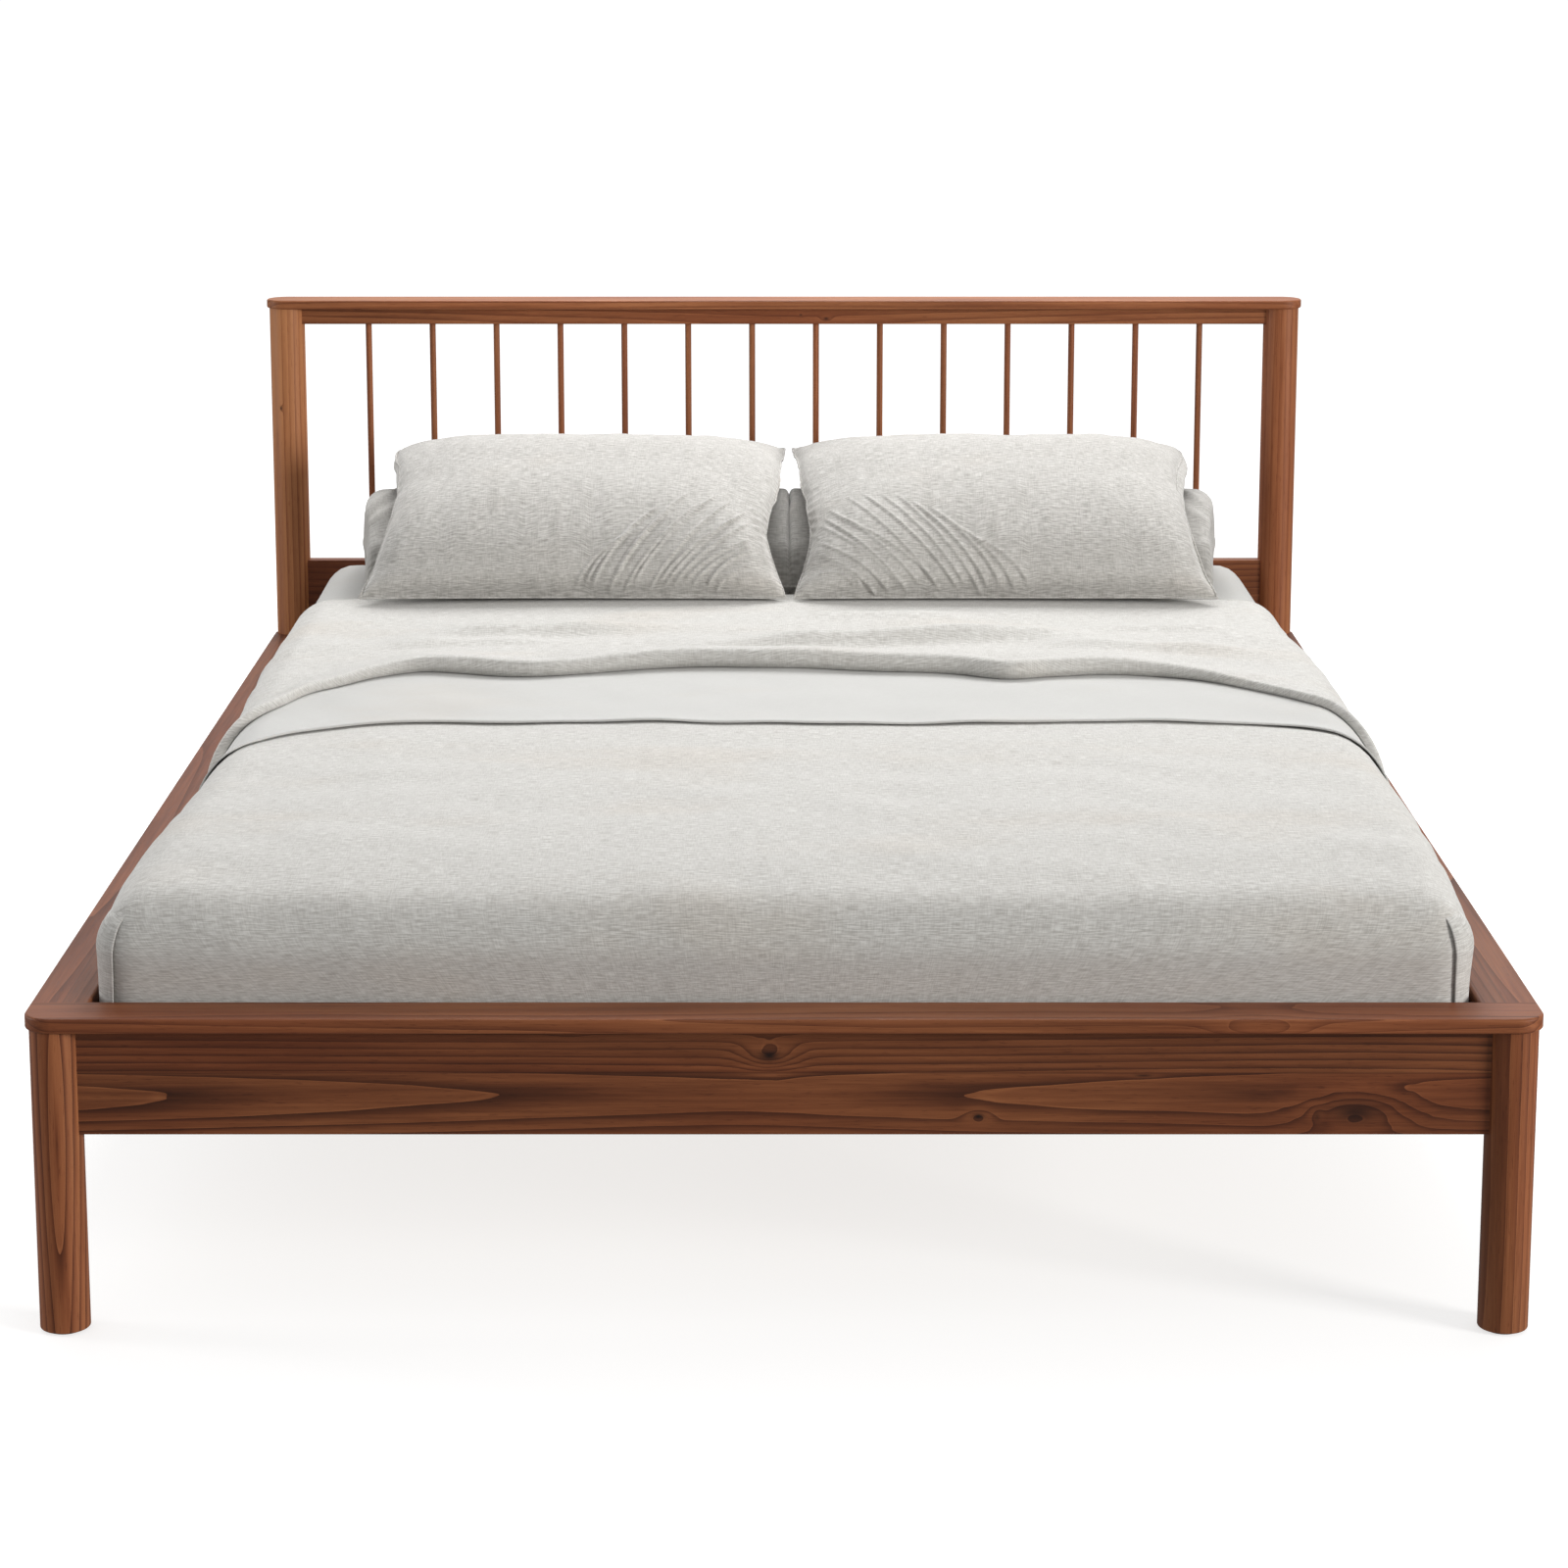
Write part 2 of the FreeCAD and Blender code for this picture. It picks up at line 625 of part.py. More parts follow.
def bedding_top(y, layer):
    """The height of a layer of bedding at a place near the head end, where the crown rises."""
    inset = mattress_middle + mattress_length / 2 - y - mattress_top_rounding
    share = inset / (mattress_width / 2 - mattress_top_rounding)
    return mattress_shoulder + layer[1] + mattress_crown * (1 - (1 - share) ** 2)


def rear_pillow_circle():
    """The front and back of the rear pillow, its seam's height, and its crown's circle."""
    back = head_inner_face - rear_pillow_from_headboard
    front = back - rear_pillow_depth
    rest_z = bedding_top(front + rear_pillow_bottom_rounding, sheet_layer) + soft_clearance
    seam_z = rest_z + rear_pillow_seam_height
    rise = rear_pillow_height - rear_pillow_seam_height
    radius = ((rear_pillow_depth / 2) ** 2 + rise ** 2) / (2 * rise)
    return front, back, seam_z, radius, seam_z + rise - radius


def rear_pillow_section(x, plump):
    """A section of the rear pillow at x: flat below, one arc above, thinner for a lower plump."""
    front, back, seam_z, _, _ = rear_pillow_circle()
    middle = (front + back) / 2
    flat_in = rear_pillow_bottom_rounding
    half_seam = pillow_seam / 2
    top_z = seam_z + plump * (rear_pillow_height - rear_pillow_seam_height)
    flat_z = seam_z - plump * rear_pillow_seam_height
    front_low, front_high = Vector(x, front, seam_z - half_seam), Vector(x, front, seam_z + half_seam)
    back_low, back_high = Vector(x, back, seam_z - half_seam), Vector(x, back, seam_z + half_seam)
    flat_front, flat_back = Vector(x, front + flat_in, flat_z), Vector(x, back - flat_in, flat_z)
    return outline([(front_low, front_high), (front_high, Vector(x, middle, top_z), back_high),
                    (back_high, back_low), (back_low, flat_back), (flat_back, flat_front),
                    (flat_front, front_low)])


def front_pillow_section(x, plump, draw):
    """A section of the front pillow at x: it rests on the bedding, then leans over the rear one."""
    rear_front, _, rear_seam_z, rear_radius, rear_circle_z = rear_pillow_circle()
    rear_middle = rear_front + rear_pillow_depth / 2

    def above_rear(y):
        reach = math.sqrt(rear_radius ** 2 - (y - rear_middle) ** 2)
        return rear_circle_z + reach + pillow_rest_clearance

    front = head_inner_face - front_pillow_from_headboard + draw
    rest_z = bedding_top(front, fold_layer) + soft_clearance
    back = front + front_pillow_depth - 2 * draw
    back_z = rest_z + front_pillow_rise
    chord = math.hypot(back - front, front_pillow_rise)
    radius = ((chord / 2) ** 2 + front_pillow_crown ** 2) / (2 * front_pillow_crown)
    along_y, along_z = (back - front) / chord, front_pillow_rise / chord
    centre_y = (front + back) / 2 + along_z * (radius - front_pillow_crown)
    centre_z = (rest_z + back_z) / 2 - along_y * (radius - front_pillow_crown)

    def on_crown(y):
        return centre_z + math.sqrt(radius ** 2 - (y - centre_y) ** 2)

    face_y = [front + step for step in front_pillow_face_steps]
    over_y = [front + share * (back - front) for share in front_pillow_over_rear]
    edge_z = rest_z + front_pillow_edge_lift
    last_y = (over_y[2] + back) / 2
    last_z = (above_rear(over_y[2]) + back_z - pillow_seam) / 2 - front_pillow_sag
    pairs = [
        ((front, edge_z), (front, edge_z + pillow_seam)),
        ((front + front_pillow_edge_rounding, rest_z), (face_y[0], on_crown(face_y[0]))),
        ((rear_front - 4 * pillow_rest_clearance, rest_z + 2 * pillow_rest_clearance),
         (face_y[1], on_crown(face_y[1]))),
        ((rear_front - pillow_rest_clearance, rear_seam_z + 2 * pillow_seam),
         (face_y[2], on_crown(face_y[2]))),
        ((over_y[0], above_rear(over_y[0])), (over_y[0], on_crown(over_y[0]))),
        ((over_y[1], above_rear(over_y[1])), (over_y[1], on_crown(over_y[1]))),
        ((over_y[2], above_rear(over_y[2])), (over_y[2], on_crown(over_y[2]))),
        ((last_y, last_z), (last_y, on_crown(last_y))),
        ((back, back_z - pillow_seam), (back, back_z)),
    ]
    low, high = [], []
    for (low_y, low_z), (high_y, high_z) in pairs:
        middle = Vector(x, (low_y + high_y) / 2, (low_z + high_z) / 2)
        half = Vector(0, (high_y - low_y) / 2, (high_z - low_z) / 2)
        share = max(plump, pillow_seam / 2 / half.Length)
        low.append(middle - half * share)
        high.append(middle + half * share)
    runs = [(low[0], high[0])]
    runs += [tuple(high[i:i + 3]) for i in (0, 2, 4, 6)]
    runs += [(high[-1], low[-1])]
    runs += [(low[i + 2], low[i + 1], low[i]) for i in (6, 4, 2, 0)]
    return outline(runs)


def both_ways(sections):
    """Sections given for one half, from its end inwards, mirrored about a full one in the middle."""
    other_half = [(-place, plump) for place, plump in reversed(sections)]
    return list(sections) + [(0.0, 1.0)] + other_half


def pillows():
    """Two pillows lying against the headboard, and two leaning back over them."""
    for side, sign in SIDES.items():
        middle = pillow_middle(sign, rear_pillow_width)
        wires = [rear_pillow_section(middle + place * rear_pillow_width / 2, plump)
                 for place, plump in both_ways(rear_pillow_sections)]
        parts[f"pillow_rear_{side}"] = Part.makeLoft(wires, True, False)
        middle = pillow_middle(sign, front_pillow_width)
        wires = [front_pillow_section(middle + place * front_pillow_width / 2, plump,
                                      front_pillow_edge_draw * (1 - place ** 2))
                 for place, plump in both_ways(front_pillow_sections)]
        parts[f"pillow_front_{side}"] = Part.makeLoft(wires, True, False)


# ----------------------------------------------------------------------------------------- build
rails()
legs()
spindles()
foot_cap()
side_caps()
headboard_cap()
slats_and_ledgers()
centre_beam()
support_legs()
bolts_and_nuts()
all_screws()
mattress_and_bedding()
pillows()

for name, shape in parts.items():
    shape.exportStep(f"parts/{name}.step")
    print(f"{name}: {len(shape.Solids)} solids, {shape.Volume / 1e6:.3f} litres, valid {shape.isValid()}")
print(f"overall {overall_width:.1f} x {overall_length:.1f} x {headboard_height:.1f} mm")
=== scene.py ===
"""A spindle bed in stained wood with a made-up mattress: its finishes, bedding, pillows and studio.

Everything is in metres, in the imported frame: +X is to the right seen from the foot end, +Y runs from
foot to head and +Z is up. Colours are given as they look on screen, from 0 to 255.
"""
import logging
import math
from collections.abc import Callable
from dataclasses import dataclass, field
from enum import Enum

import bmesh
import bpy
import numpy as np
from mathutils import Euler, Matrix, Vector


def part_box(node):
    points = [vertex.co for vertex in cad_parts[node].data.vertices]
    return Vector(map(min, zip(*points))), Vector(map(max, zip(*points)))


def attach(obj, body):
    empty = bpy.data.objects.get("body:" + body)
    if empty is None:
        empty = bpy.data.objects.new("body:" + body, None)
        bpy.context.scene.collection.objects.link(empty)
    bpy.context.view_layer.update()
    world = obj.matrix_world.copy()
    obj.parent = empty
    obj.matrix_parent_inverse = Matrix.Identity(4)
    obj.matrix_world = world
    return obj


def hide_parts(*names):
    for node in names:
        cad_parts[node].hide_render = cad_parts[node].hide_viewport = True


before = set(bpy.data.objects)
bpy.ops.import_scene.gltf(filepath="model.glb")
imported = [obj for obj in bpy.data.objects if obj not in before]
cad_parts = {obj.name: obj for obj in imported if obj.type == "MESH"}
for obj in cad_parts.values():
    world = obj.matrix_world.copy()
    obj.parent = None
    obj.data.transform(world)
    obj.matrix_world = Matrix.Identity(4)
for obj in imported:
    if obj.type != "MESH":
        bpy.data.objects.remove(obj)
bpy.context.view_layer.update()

MM = 0.001
CLOTH_UV = "cloth"

Array = np.ndarray
Colour = tuple[int, int, int]
Socket = bpy.types.NodeSocket | float

logging.basicConfig(level=logging.INFO, format="%(message)s")
log = logging.getLogger("spindle_bed")


# ------------------------------------------------------------------------------ numbers and shapes
def screen(colour: Colour) -> tuple[float, float, float, float]:
    """A screen colour as the linear colour that a shader takes.

    Args:
        colour: red, green and blue from 0 to 255.

    Returns:
        Linear red, green, blue and an alpha of 1.
    """
    shares = [value / 255 for value in colour]
    linear = [s / 12.92 if s <= 0.04045 else ((s + 0.055) / 1.055) ** 2.4 for s in shares]
    return (*linear, 1.0)


def ease(value: Array, low: float, high: float) -> Array:
    """0 below low, 1 above high, and the cubic 3t^2 - 2t^3 between."""
    share = np.clip((value - low) / (high - low), 0.0, 1.0)
    return share * share * (3 - 2 * share)


def bell(value: Array, centre: float, width: float) -> Array:
    """A bell curve, exp(-((value - centre) / width)^2)."""
    return np.exp(-(((value - centre) / width) ** 2))


def through(stations: Array, values: Array, at: Array) -> Array:
    """A smooth curve through values at stations: cubic Hermite pieces whose slope at each station is
    the mean slope of its two neighbouring stretches.

    Args:
        stations: rising places of the known values.
        values: one row of numbers for each station.
        at: the places where the curve is wanted, of any shape.

    Returns:
        The curve's values, with the shape of at and then that of one row.
    """
    stations, values = np.asarray(stations, float), np.asarray(values, float)
    flat = values.reshape(len(stations), -1)
    slopes = np.diff(flat, axis=0) / np.diff(stations)[:, None]
    tangents = np.vstack([slopes[:1], (slopes[1:] + slopes[:-1]) / 2, slopes[-1:]])
    index = np.clip(np.searchsorted(stations, at, side="right") - 1, 0, len(stations) - 2)
    step = (stations[index + 1] - stations[index])[..., None]
    t = (np.clip(at, stations[0], stations[-1]) - stations[index])[..., None] / step
    result = (
        (2 * t**3 - 3 * t**2 + 1) * flat[index]
        + (t**3 - 2 * t**2 + t) * step * tangents[index]
        + (3 * t**2 - 2 * t**3) * flat[index + 1]
        + (t**3 - t**2) * step * tangents[index + 1]
    )
    return result.reshape(np.shape(at) + values.shape[1:])


def ripples(x: Array, y: Array, wave: float, seed: int, count: int = 9) -> Array:
    """Gentle random hollows and swells, about -1 to 1: a sum of plane waves of nearly one length, in
    directions and phases drawn from a seed.

    Args:
        x, y: places on the cloth.
        wave: the mean wavelength.
        seed: which draw.
        count: how many plane waves.

    Returns:
        The height at each place.
    """
    draw = np.random.default_rng(seed)
    total = np.zeros(np.broadcast(x, y).shape)
    for _ in range(count):
        turn = draw.uniform(0, 2 * math.pi)
        rate = 2 * math.pi / (wave * draw.uniform(0.7, 1.5))
        phase = draw.uniform(0, 2 * math.pi)
        total += np.cos(rate * (math.cos(turn) * x + math.sin(turn) * y) + phase)
    return total / math.sqrt(2 * count)


def crease(x: Array, y: Array, start: tuple[float, float], end: tuple[float, float],
           bow: float, width: float, behind: float = 1.0, fade: float = 0.25) -> Array:
    """A single curved crease, 0 to 1: a bell across an arc from start to end that bows sideways, and
    that fades at both of its ends.

    Args:
        x, y: places on the cloth.
        start, end: the ends of the crease.
        bow: how far its middle stands off the straight line, to the left of its direction.
        width: half its width.
        behind: how much wider it is on the left of its direction.
        fade: the share of its length over which each end dies away.

    Returns:
        The height at each place.
    """
    (x0, y0), (x1, y1) = start, end
    length = math.hypot(x1 - x0, y1 - y0)
    ux, uy = (x1 - x0) / length, (y1 - y0) / length
    along = ((x - x0) * ux + (y - y0) * uy) / length
    off = (y - y0) * ux - (x - x0) * uy - 4 * bow * along * (1 - along)
    ends = ease(along, 0.0, fade) * (1 - ease(along, 1 - fade, 1.0))
    return bell(off / np.where(off > 0, behind, 1.0), 0.0, width) * ends


def grid_faces(rows: int, columns: int) -> Array:
    """The quads of a grid of points stored row by row, turned to face along row x column."""
    first = (np.arange(rows - 1)[:, None] * columns + np.arange(columns - 1)[None, :]).ravel()
    return np.stack([first, first + columns, first + columns + 1, first + 1], axis=1)


def grid_normals(points: Array) -> Array:
    """The unit normals of a grid of points, from its central differences: row step x column step."""
    along_rows = np.gradient(points, axis=0)
    along_columns = np.gradient(points, axis=1)
    normals = np.cross(along_rows, along_columns)
    return normals / np.maximum(np.linalg.norm(normals, axis=-1, keepdims=True), 1e-12)


def new_piece(name: str, points: Array, faces: Array, cloth: Array | None = None) -> bpy.types.Object:
    """A mesh object at the origin, from whole arrays.

    Args:
        name: the piece's name.
        points: one row of X, Y, Z for each point.
        faces: one row of four point numbers for each quad.
        cloth: each point's place on the flat cloth, in metres, which becomes the UV map.

    Returns:
        The object, smooth and linked into the scene.
    """
    mesh = bpy.data.meshes.new(name)
    mesh.from_pydata(points.reshape(-1, 3).tolist(), [], faces.tolist())
    mesh.polygons.foreach_set("use_smooth", np.ones(len(mesh.polygons), bool))
    if cloth is not None:
        corner_points = np.zeros(len(mesh.loops), np.int32)
        mesh.loops.foreach_get("vertex_index", corner_points)
        layer = mesh.uv_layers.new(name=CLOTH_UV)
        layer.data.foreach_set("uv", cloth.reshape(-1, 2)[corner_points].astype(np.float32).ravel())
    mesh.update()
    piece = bpy.data.objects.new(name, mesh)
    bpy.context.scene.collection.objects.link(piece)
    return piece


def tube(path: Array, radius: float, sides: int = 8) -> tuple[Array, Array]:
    """A closed tube round a closed path: each ring is a circle in the plane of the path's sideways
    direction and its own normal, and the last ring joins the first.

    Args:
        path: the closed path's points, without the first repeated.
        radius: the tube's radius.
        sides: the points of one ring.

    Returns:
        The tube's points and its quads.
    """
    forward = np.roll(path, -1, axis=0) - np.roll(path, 1, axis=0)
    forward /= np.linalg.norm(forward, axis=1, keepdims=True)
    middle = path.mean(axis=0)
    outwards = path - middle
    outwards -= (outwards * forward).sum(axis=1, keepdims=True) * forward
    outwards /= np.maximum(np.linalg.norm(outwards, axis=1, keepdims=True), 1e-9)
    beside = np.cross(forward, outwards)
    turn = np.linspace(0, 2 * math.pi, sides, endpoint=False)
    ring = np.cos(turn)[None, :, None] * outwards[:, None] + np.sin(turn)[None, :, None] * beside[:, None]
    points = path[:, None] + radius * ring
    count = len(path)
    row, column = np.meshgrid(np.arange(count), np.arange(sides), indexing="ij")
    next_row, next_column = (row + 1) % count, (column + 1) % sides
    faces = np.stack([row * sides + column, next_row * sides + column,
                      next_row * sides + next_column, row * sides + next_column], axis=-1)
    return points.reshape(-1, 3), faces.reshape(-1, 4)


def solidify(piece: bpy.types.Object, thickness: float, offset: float = -1.0) -> None:
    """Gives a sheet its thickness: offset -1 grows it inwards, 0 both ways, 1 outwards."""
    wall = piece.modifiers.new("thickness", "SOLIDIFY")
    wall.thickness = thickness
    wall.offset = offset
    wall.use_even_offset = False


# ------------------------------------------------------------------------------------ shader graph
class Graph:
    """A shader's nodes, with short calls for the ones that the finishes use."""

    def __init__(self, tree: bpy.types.NodeTree) -> None:
        """Takes a node tree, and its Principled surface if it has one."""
        self.nodes, self.links = tree.nodes, tree.links
        self.surface = self.nodes.get("Principled BSDF")

    @classmethod
    def of_material(cls, name: str) -> "Graph":
        """The graph of a new material with one Principled surface."""
        material = bpy.data.materials.new(name)
        material.use_nodes = True
        graph = cls(material.node_tree)
        graph.material = material
        return graph

    def plug(self, value: Socket, socket: bpy.types.NodeSocket) -> None:
        """Links a socket to another, or sets its constant."""
        if isinstance(value, bpy.types.NodeSocket):
            self.links.new(value, socket)
        else:
            socket.default_value = value

    def calc(self, operation: str, *values: Socket) -> bpy.types.NodeSocket:
        """One Math node of an operation on one to three values."""
        node = self.nodes.new("ShaderNodeMath")
        node.operation = operation
        for value, socket in zip(values, node.inputs):
            self.plug(value, socket)
        return node.outputs[0]

    def total(self, *values: Socket) -> Socket:
        """The sum of two or more values."""
        result = values[0]
        for value in values[1:]:
            result = self.calc("ADD", result, value)
        return result

    def spread(self, value: Socket, gain: float, middle: float = 0.5) -> bpy.types.NodeSocket:
        """(value - middle) x gain: a 0 to 1 pattern as a swing about 0."""
        return self.calc("MULTIPLY", self.calc("SUBTRACT", value, middle), gain)

    def span(self, value: Socket, low: float, high: float, to: tuple[float, float] = (0.0, 1.0)
             ) -> bpy.types.NodeSocket:
        """A clamped, eased change from one number to another as value goes from low to high."""
        node = self.nodes.new("ShaderNodeMapRange")
        node.interpolation_type = "SMOOTHSTEP"
        for part, socket in zip((value, low, high, *to), node.inputs):
            self.plug(part, socket)
        return node.outputs[0]

    def bell(self, offset: Socket, width: float) -> bpy.types.NodeSocket:
        """exp(-(offset / width)^2)."""
        share = self.calc("DIVIDE", offset, width)
        return self.calc("EXPONENT", self.calc("MULTIPLY", self.calc("MULTIPLY", share, share), -1.0))

    def join(self, x: Socket, y: Socket, z: Socket = 0.0) -> bpy.types.NodeSocket:
        """Three values as one vector."""
        node = self.nodes.new("ShaderNodeCombineXYZ")
        for value, socket in zip((x, y, z), node.inputs):
            self.plug(value, socket)
        return node.outputs[0]

    def split(self, vector: bpy.types.NodeSocket) -> tuple[bpy.types.NodeSocket, ...]:
        """A vector's three values."""
        node = self.nodes.new("ShaderNodeSeparateXYZ")
        self.plug(vector, node.inputs[0])
        return tuple(node.outputs)

    def noise(self, vector: bpy.types.NodeSocket, scale: float = 1.0, detail: float = 2.0,
              roughness: float = 0.5) -> bpy.types.NodeSocket:
        """A noise pattern, about 0.2 to 0.8."""
        node = self.nodes.new("ShaderNodeTexNoise")
        self.plug(vector, node.inputs["Vector"])
        for key, value in (("Scale", scale), ("Detail", detail), ("Roughness", roughness)):
            node.inputs[key].default_value = value
        return node.outputs[0]

    def blend(self, share: Socket, first: Socket | tuple, second: Socket | tuple,
              how: str = "MIX") -> bpy.types.NodeSocket:
        """A mix of two colours."""
        node = self.nodes.new("ShaderNodeMix")
        node.data_type = "RGBA"
        node.blend_type = how
        self.plug(share, node.inputs[0])
        self.plug(first, node.inputs[6])
        self.plug(second, node.inputs[7])
        return node.outputs[2]

    def ramp(self, value: Socket, stops: tuple[tuple[float, Colour], ...]) -> bpy.types.NodeSocket:
        """A colour by a value, through stops of a place and a screen colour."""
        node = self.nodes.new("ShaderNodeValToRGB")
        node.color_ramp.interpolation = "B_SPLINE" if len(stops) > 3 else "EASE"
        elements = node.color_ramp.elements
        while len(elements) < len(stops):
            elements.new(0.5)
        for element, (place, colour) in zip(elements, stops):
            element.position = place
            element.color = screen(colour)
        self.plug(value, node.inputs[0])
        return node.outputs[0]

    def finish(self, colour: Socket, roughness: Socket, height: Socket | None = None,
               relief: float = 0.0, strength: float = 0.5, **constants: float) -> bpy.types.Material:
        """Joins the patterns to the surface.

        Args:
            colour: the base colour.
            roughness: how matt it is.
            height: a 0 to 1 height pattern, if the surface has relief.
            relief: how high 1 stands, in metres.
            strength: how strongly the relief shows.
            **constants: other inputs of the surface, with _ for the spaces in their names.

        Returns:
            The material.
        """
        self.plug(colour, self.surface.inputs["Base Color"])
        self.plug(roughness, self.surface.inputs["Roughness"])
        for key, value in constants.items():
            self.surface.inputs[key.replace("_", " ")].default_value = value
        if height is not None:
            bump = self.nodes.new("ShaderNodeBump")
            bump.inputs["Distance"].default_value = relief
            bump.inputs["Strength"].default_value = strength
            self.plug(height, bump.inputs["Height"])
            self.plug(bump.outputs[0], self.surface.inputs["Normal"])
        return self.material


# ---------------------------------------------------------------------------------------- finishes
class Grain(Enum):
    """Which way a board's grain runs, as the order of X, Y, Z: along it, across its face, deep."""

    ALONG_X = (0, 2, 1)
    ALONG_Y = (1, 0, 2)
    ALONG_Z = (2, 0, 1)


class Stain(Enum):
    """How a wood is coloured: the ramp from its darkest late wood to its palest early wood."""

    WALNUT = ((0.0, (47, 22, 12)), (0.3, (88, 47, 27)), (0.5, (119, 68, 40)), (0.72, (152, 94, 58)),
              (1.0, (194, 133, 88)))
    PINE = ((0.0, (150, 110, 70)), (0.3, (190, 150, 105)), (0.5, (208, 172, 128)),
            (0.72, (220, 188, 146)), (1.0, (232, 206, 168)))


@dataclass(frozen=True)
class Knot:
    """A knot in a board's face: where it is, how large, and how far it pushes the grain aside."""

    along: float
    across: float
    length: float
    height: float
    push: float = 0.016
    core: float = 0.3
    dark: float = 0.9


@dataclass(frozen=True)
class StainedWood:
    """Stained wood. Growth rings are shells round a pith that leans through the board, so that a flat
    face shows cathedral figure; knots push them aside, and fibres and pores run along the grain. Beyond
    a joint the grain is shifted along and deep, so that it reads as another board."""

    name: str
    grain: Grain
    pith: tuple[float, float]
    apex: float = 0.0
    lean: float = 0.03
    ring: float = 0.009
    contrast: float = 0.42
    tone: float = 0.0
    wander: float = 0.010
    seed: float = 0.0
    stain: Stain = Stain.WALNUT
    knots: tuple[Knot, ...] = ()
    joints: tuple[float, ...] = ()
    board_step: float = 1.37
    board_depth: float = 0.031

    def build(self) -> bpy.types.Material:
        """The material: ring distance -> saw-tooth of light early and dark late wood -> stain ramp."""
        g = Graph.of_material(self.name)
        coordinates = g.nodes.new("ShaderNodeTexCoord").outputs["Object"]
        parts = g.split(coordinates)
        along, across, deep = (parts[index] for index in self.grain.value)
        board_along = along
        for joint in self.joints:
            above = g.calc("GREATER_THAN", across, joint)
            board_along = g.calc("MULTIPLY_ADD", above, self.board_step, board_along)

        def stretched(rate_along: float, rate_across: float, shift: float = 0.0) -> Socket:
            """The place in the board, stretched along its grain and across it."""
            return g.join(g.calc("MULTIPLY_ADD", board_along, rate_along, self.seed + shift),
                          g.calc("MULTIPLY", across, rate_across),
                          g.calc("MULTIPLY_ADD", deep, rate_across, shift))

        push: Socket = 0.0
        cores = []
        for knot in self.knots:
            along_off = g.calc("SUBTRACT", along, knot.along)
            across_off = g.calc("SUBTRACT", across, knot.across)
            wavy = g.spread(g.noise(stretched(40.0, 60.0, knot.along), detail=1.0), 0.5)
            radius = g.calc("ADD", g.calc("POWER", g.calc("DIVIDE", along_off, knot.length), 2.0),
                            g.calc("POWER", g.calc("DIVIDE", across_off, knot.height), 2.0))
            radius = g.calc("MULTIPLY", radius, g.calc("ADD", wavy, 1.0))
            swell = g.calc("EXPONENT", g.calc("MULTIPLY", radius, -1.0))
            push = g.calc("MULTIPLY_ADD", swell, knot.push, push)
            inner = g.calc("EXPONENT", g.calc("MULTIPLY", radius, -1.0 / knot.core**2))
            cores.append(g.calc("MULTIPLY", inner, knot.dark))
        drift = g.spread(g.noise(stretched(1.1, 5.0), detail=1.0), self.wander * 2)
        drift_deep = g.spread(g.noise(stretched(0.8, 4.0, 7.7), detail=1.0), self.wander * 2)
        from_apex = g.calc("SUBTRACT", along, self.apex)
        soft = g.calc("SQRT", g.calc("MULTIPLY_ADD", from_apex, from_apex, 0.05**2))
        pith_deep = g.calc("MULTIPLY_ADD", soft, -self.lean, self.pith[1])
        side = g.calc("ADD", g.calc("SUBTRACT", across, self.pith[0]), drift)
        depth = g.calc("ADD", g.calc("SUBTRACT", deep, pith_deep), drift_deep)
        for joint in self.joints:
            above = g.calc("GREATER_THAN", across, joint)
            depth = g.calc("MULTIPLY_ADD", above, self.board_depth, depth)
        distance = g.calc("SQRT", g.calc("ADD", g.calc("MULTIPLY", side, side),
                                         g.calc("MULTIPLY", depth, depth)))
        jitter = g.spread(g.noise(stretched(3.0, 40.0, 3.1), detail=2.0), 0.5)
        phase = g.total(g.calc("DIVIDE", g.calc("ADD", distance, push), self.ring), jitter)
        saw = g.calc("FRACT", phase)
        late = g.calc("POWER", g.calc("SUBTRACT", 1.0, saw), 3.0)
        fine_line = g.bell(g.calc("SUBTRACT", saw, 0.97), 0.03)
        strength = g.span(g.noise(stretched(0.9, 6.0, 1.9), detail=1.0), 0.25, 0.7, (0.25, 1.0))
        swing = g.calc("MULTIPLY", g.spread(late, -self.contrast, 0.25), strength)
        swing = g.calc("ADD", swing, g.calc("MULTIPLY", g.calc("MULTIPLY", fine_line, strength), 0.10))
        blotch = g.spread(g.noise(stretched(2.0, 13.0, 5.5), detail=4.0, roughness=0.6), 0.42)
        streak = g.spread(g.noise(stretched(5.0, 190.0, 2.2), detail=3.0), 0.34)
        fibre = g.noise(stretched(24.0, 900.0), detail=2.0)
        pore = g.span(g.noise(stretched(55.0, 700.0, 9.0), detail=1.0), 0.62, 0.75)
        value = g.total(swing, blotch, streak, g.spread(fibre, 0.16), 0.5 + self.tone,
                        g.calc("MULTIPLY", pore, -0.10))
        colour = g.ramp(value, self.stain.value)
        redness = g.span(g.noise(stretched(1.3, 8.0, 4.4), detail=2.0), 0.42, 0.62)
        if self.stain is Stain.WALNUT:
            colour = g.blend(g.calc("MULTIPLY", redness, 0.22), colour, screen((150, 70, 44)), "OVERLAY")
        for core in cores:
            colour = g.blend(core, colour, screen((30, 15, 11)))
        for joint in self.joints:
            line = g.bell(g.calc("SUBTRACT", across, joint), 0.0007)
            colour = g.blend(g.calc("MULTIPLY", line, 0.45), colour, screen((45, 22, 15)))
        roughness = g.total(g.spread(fibre, 0.22), g.calc("MULTIPLY", late, 0.05), 0.48)
        relief = g.total(fibre, g.calc("MULTIPLY", pore, -0.7), g.calc("MULTIPLY", late, 0.3))
        return g.finish(colour, roughness, relief, 0.00025, 0.35, Specular_IOR_Level=0.24)


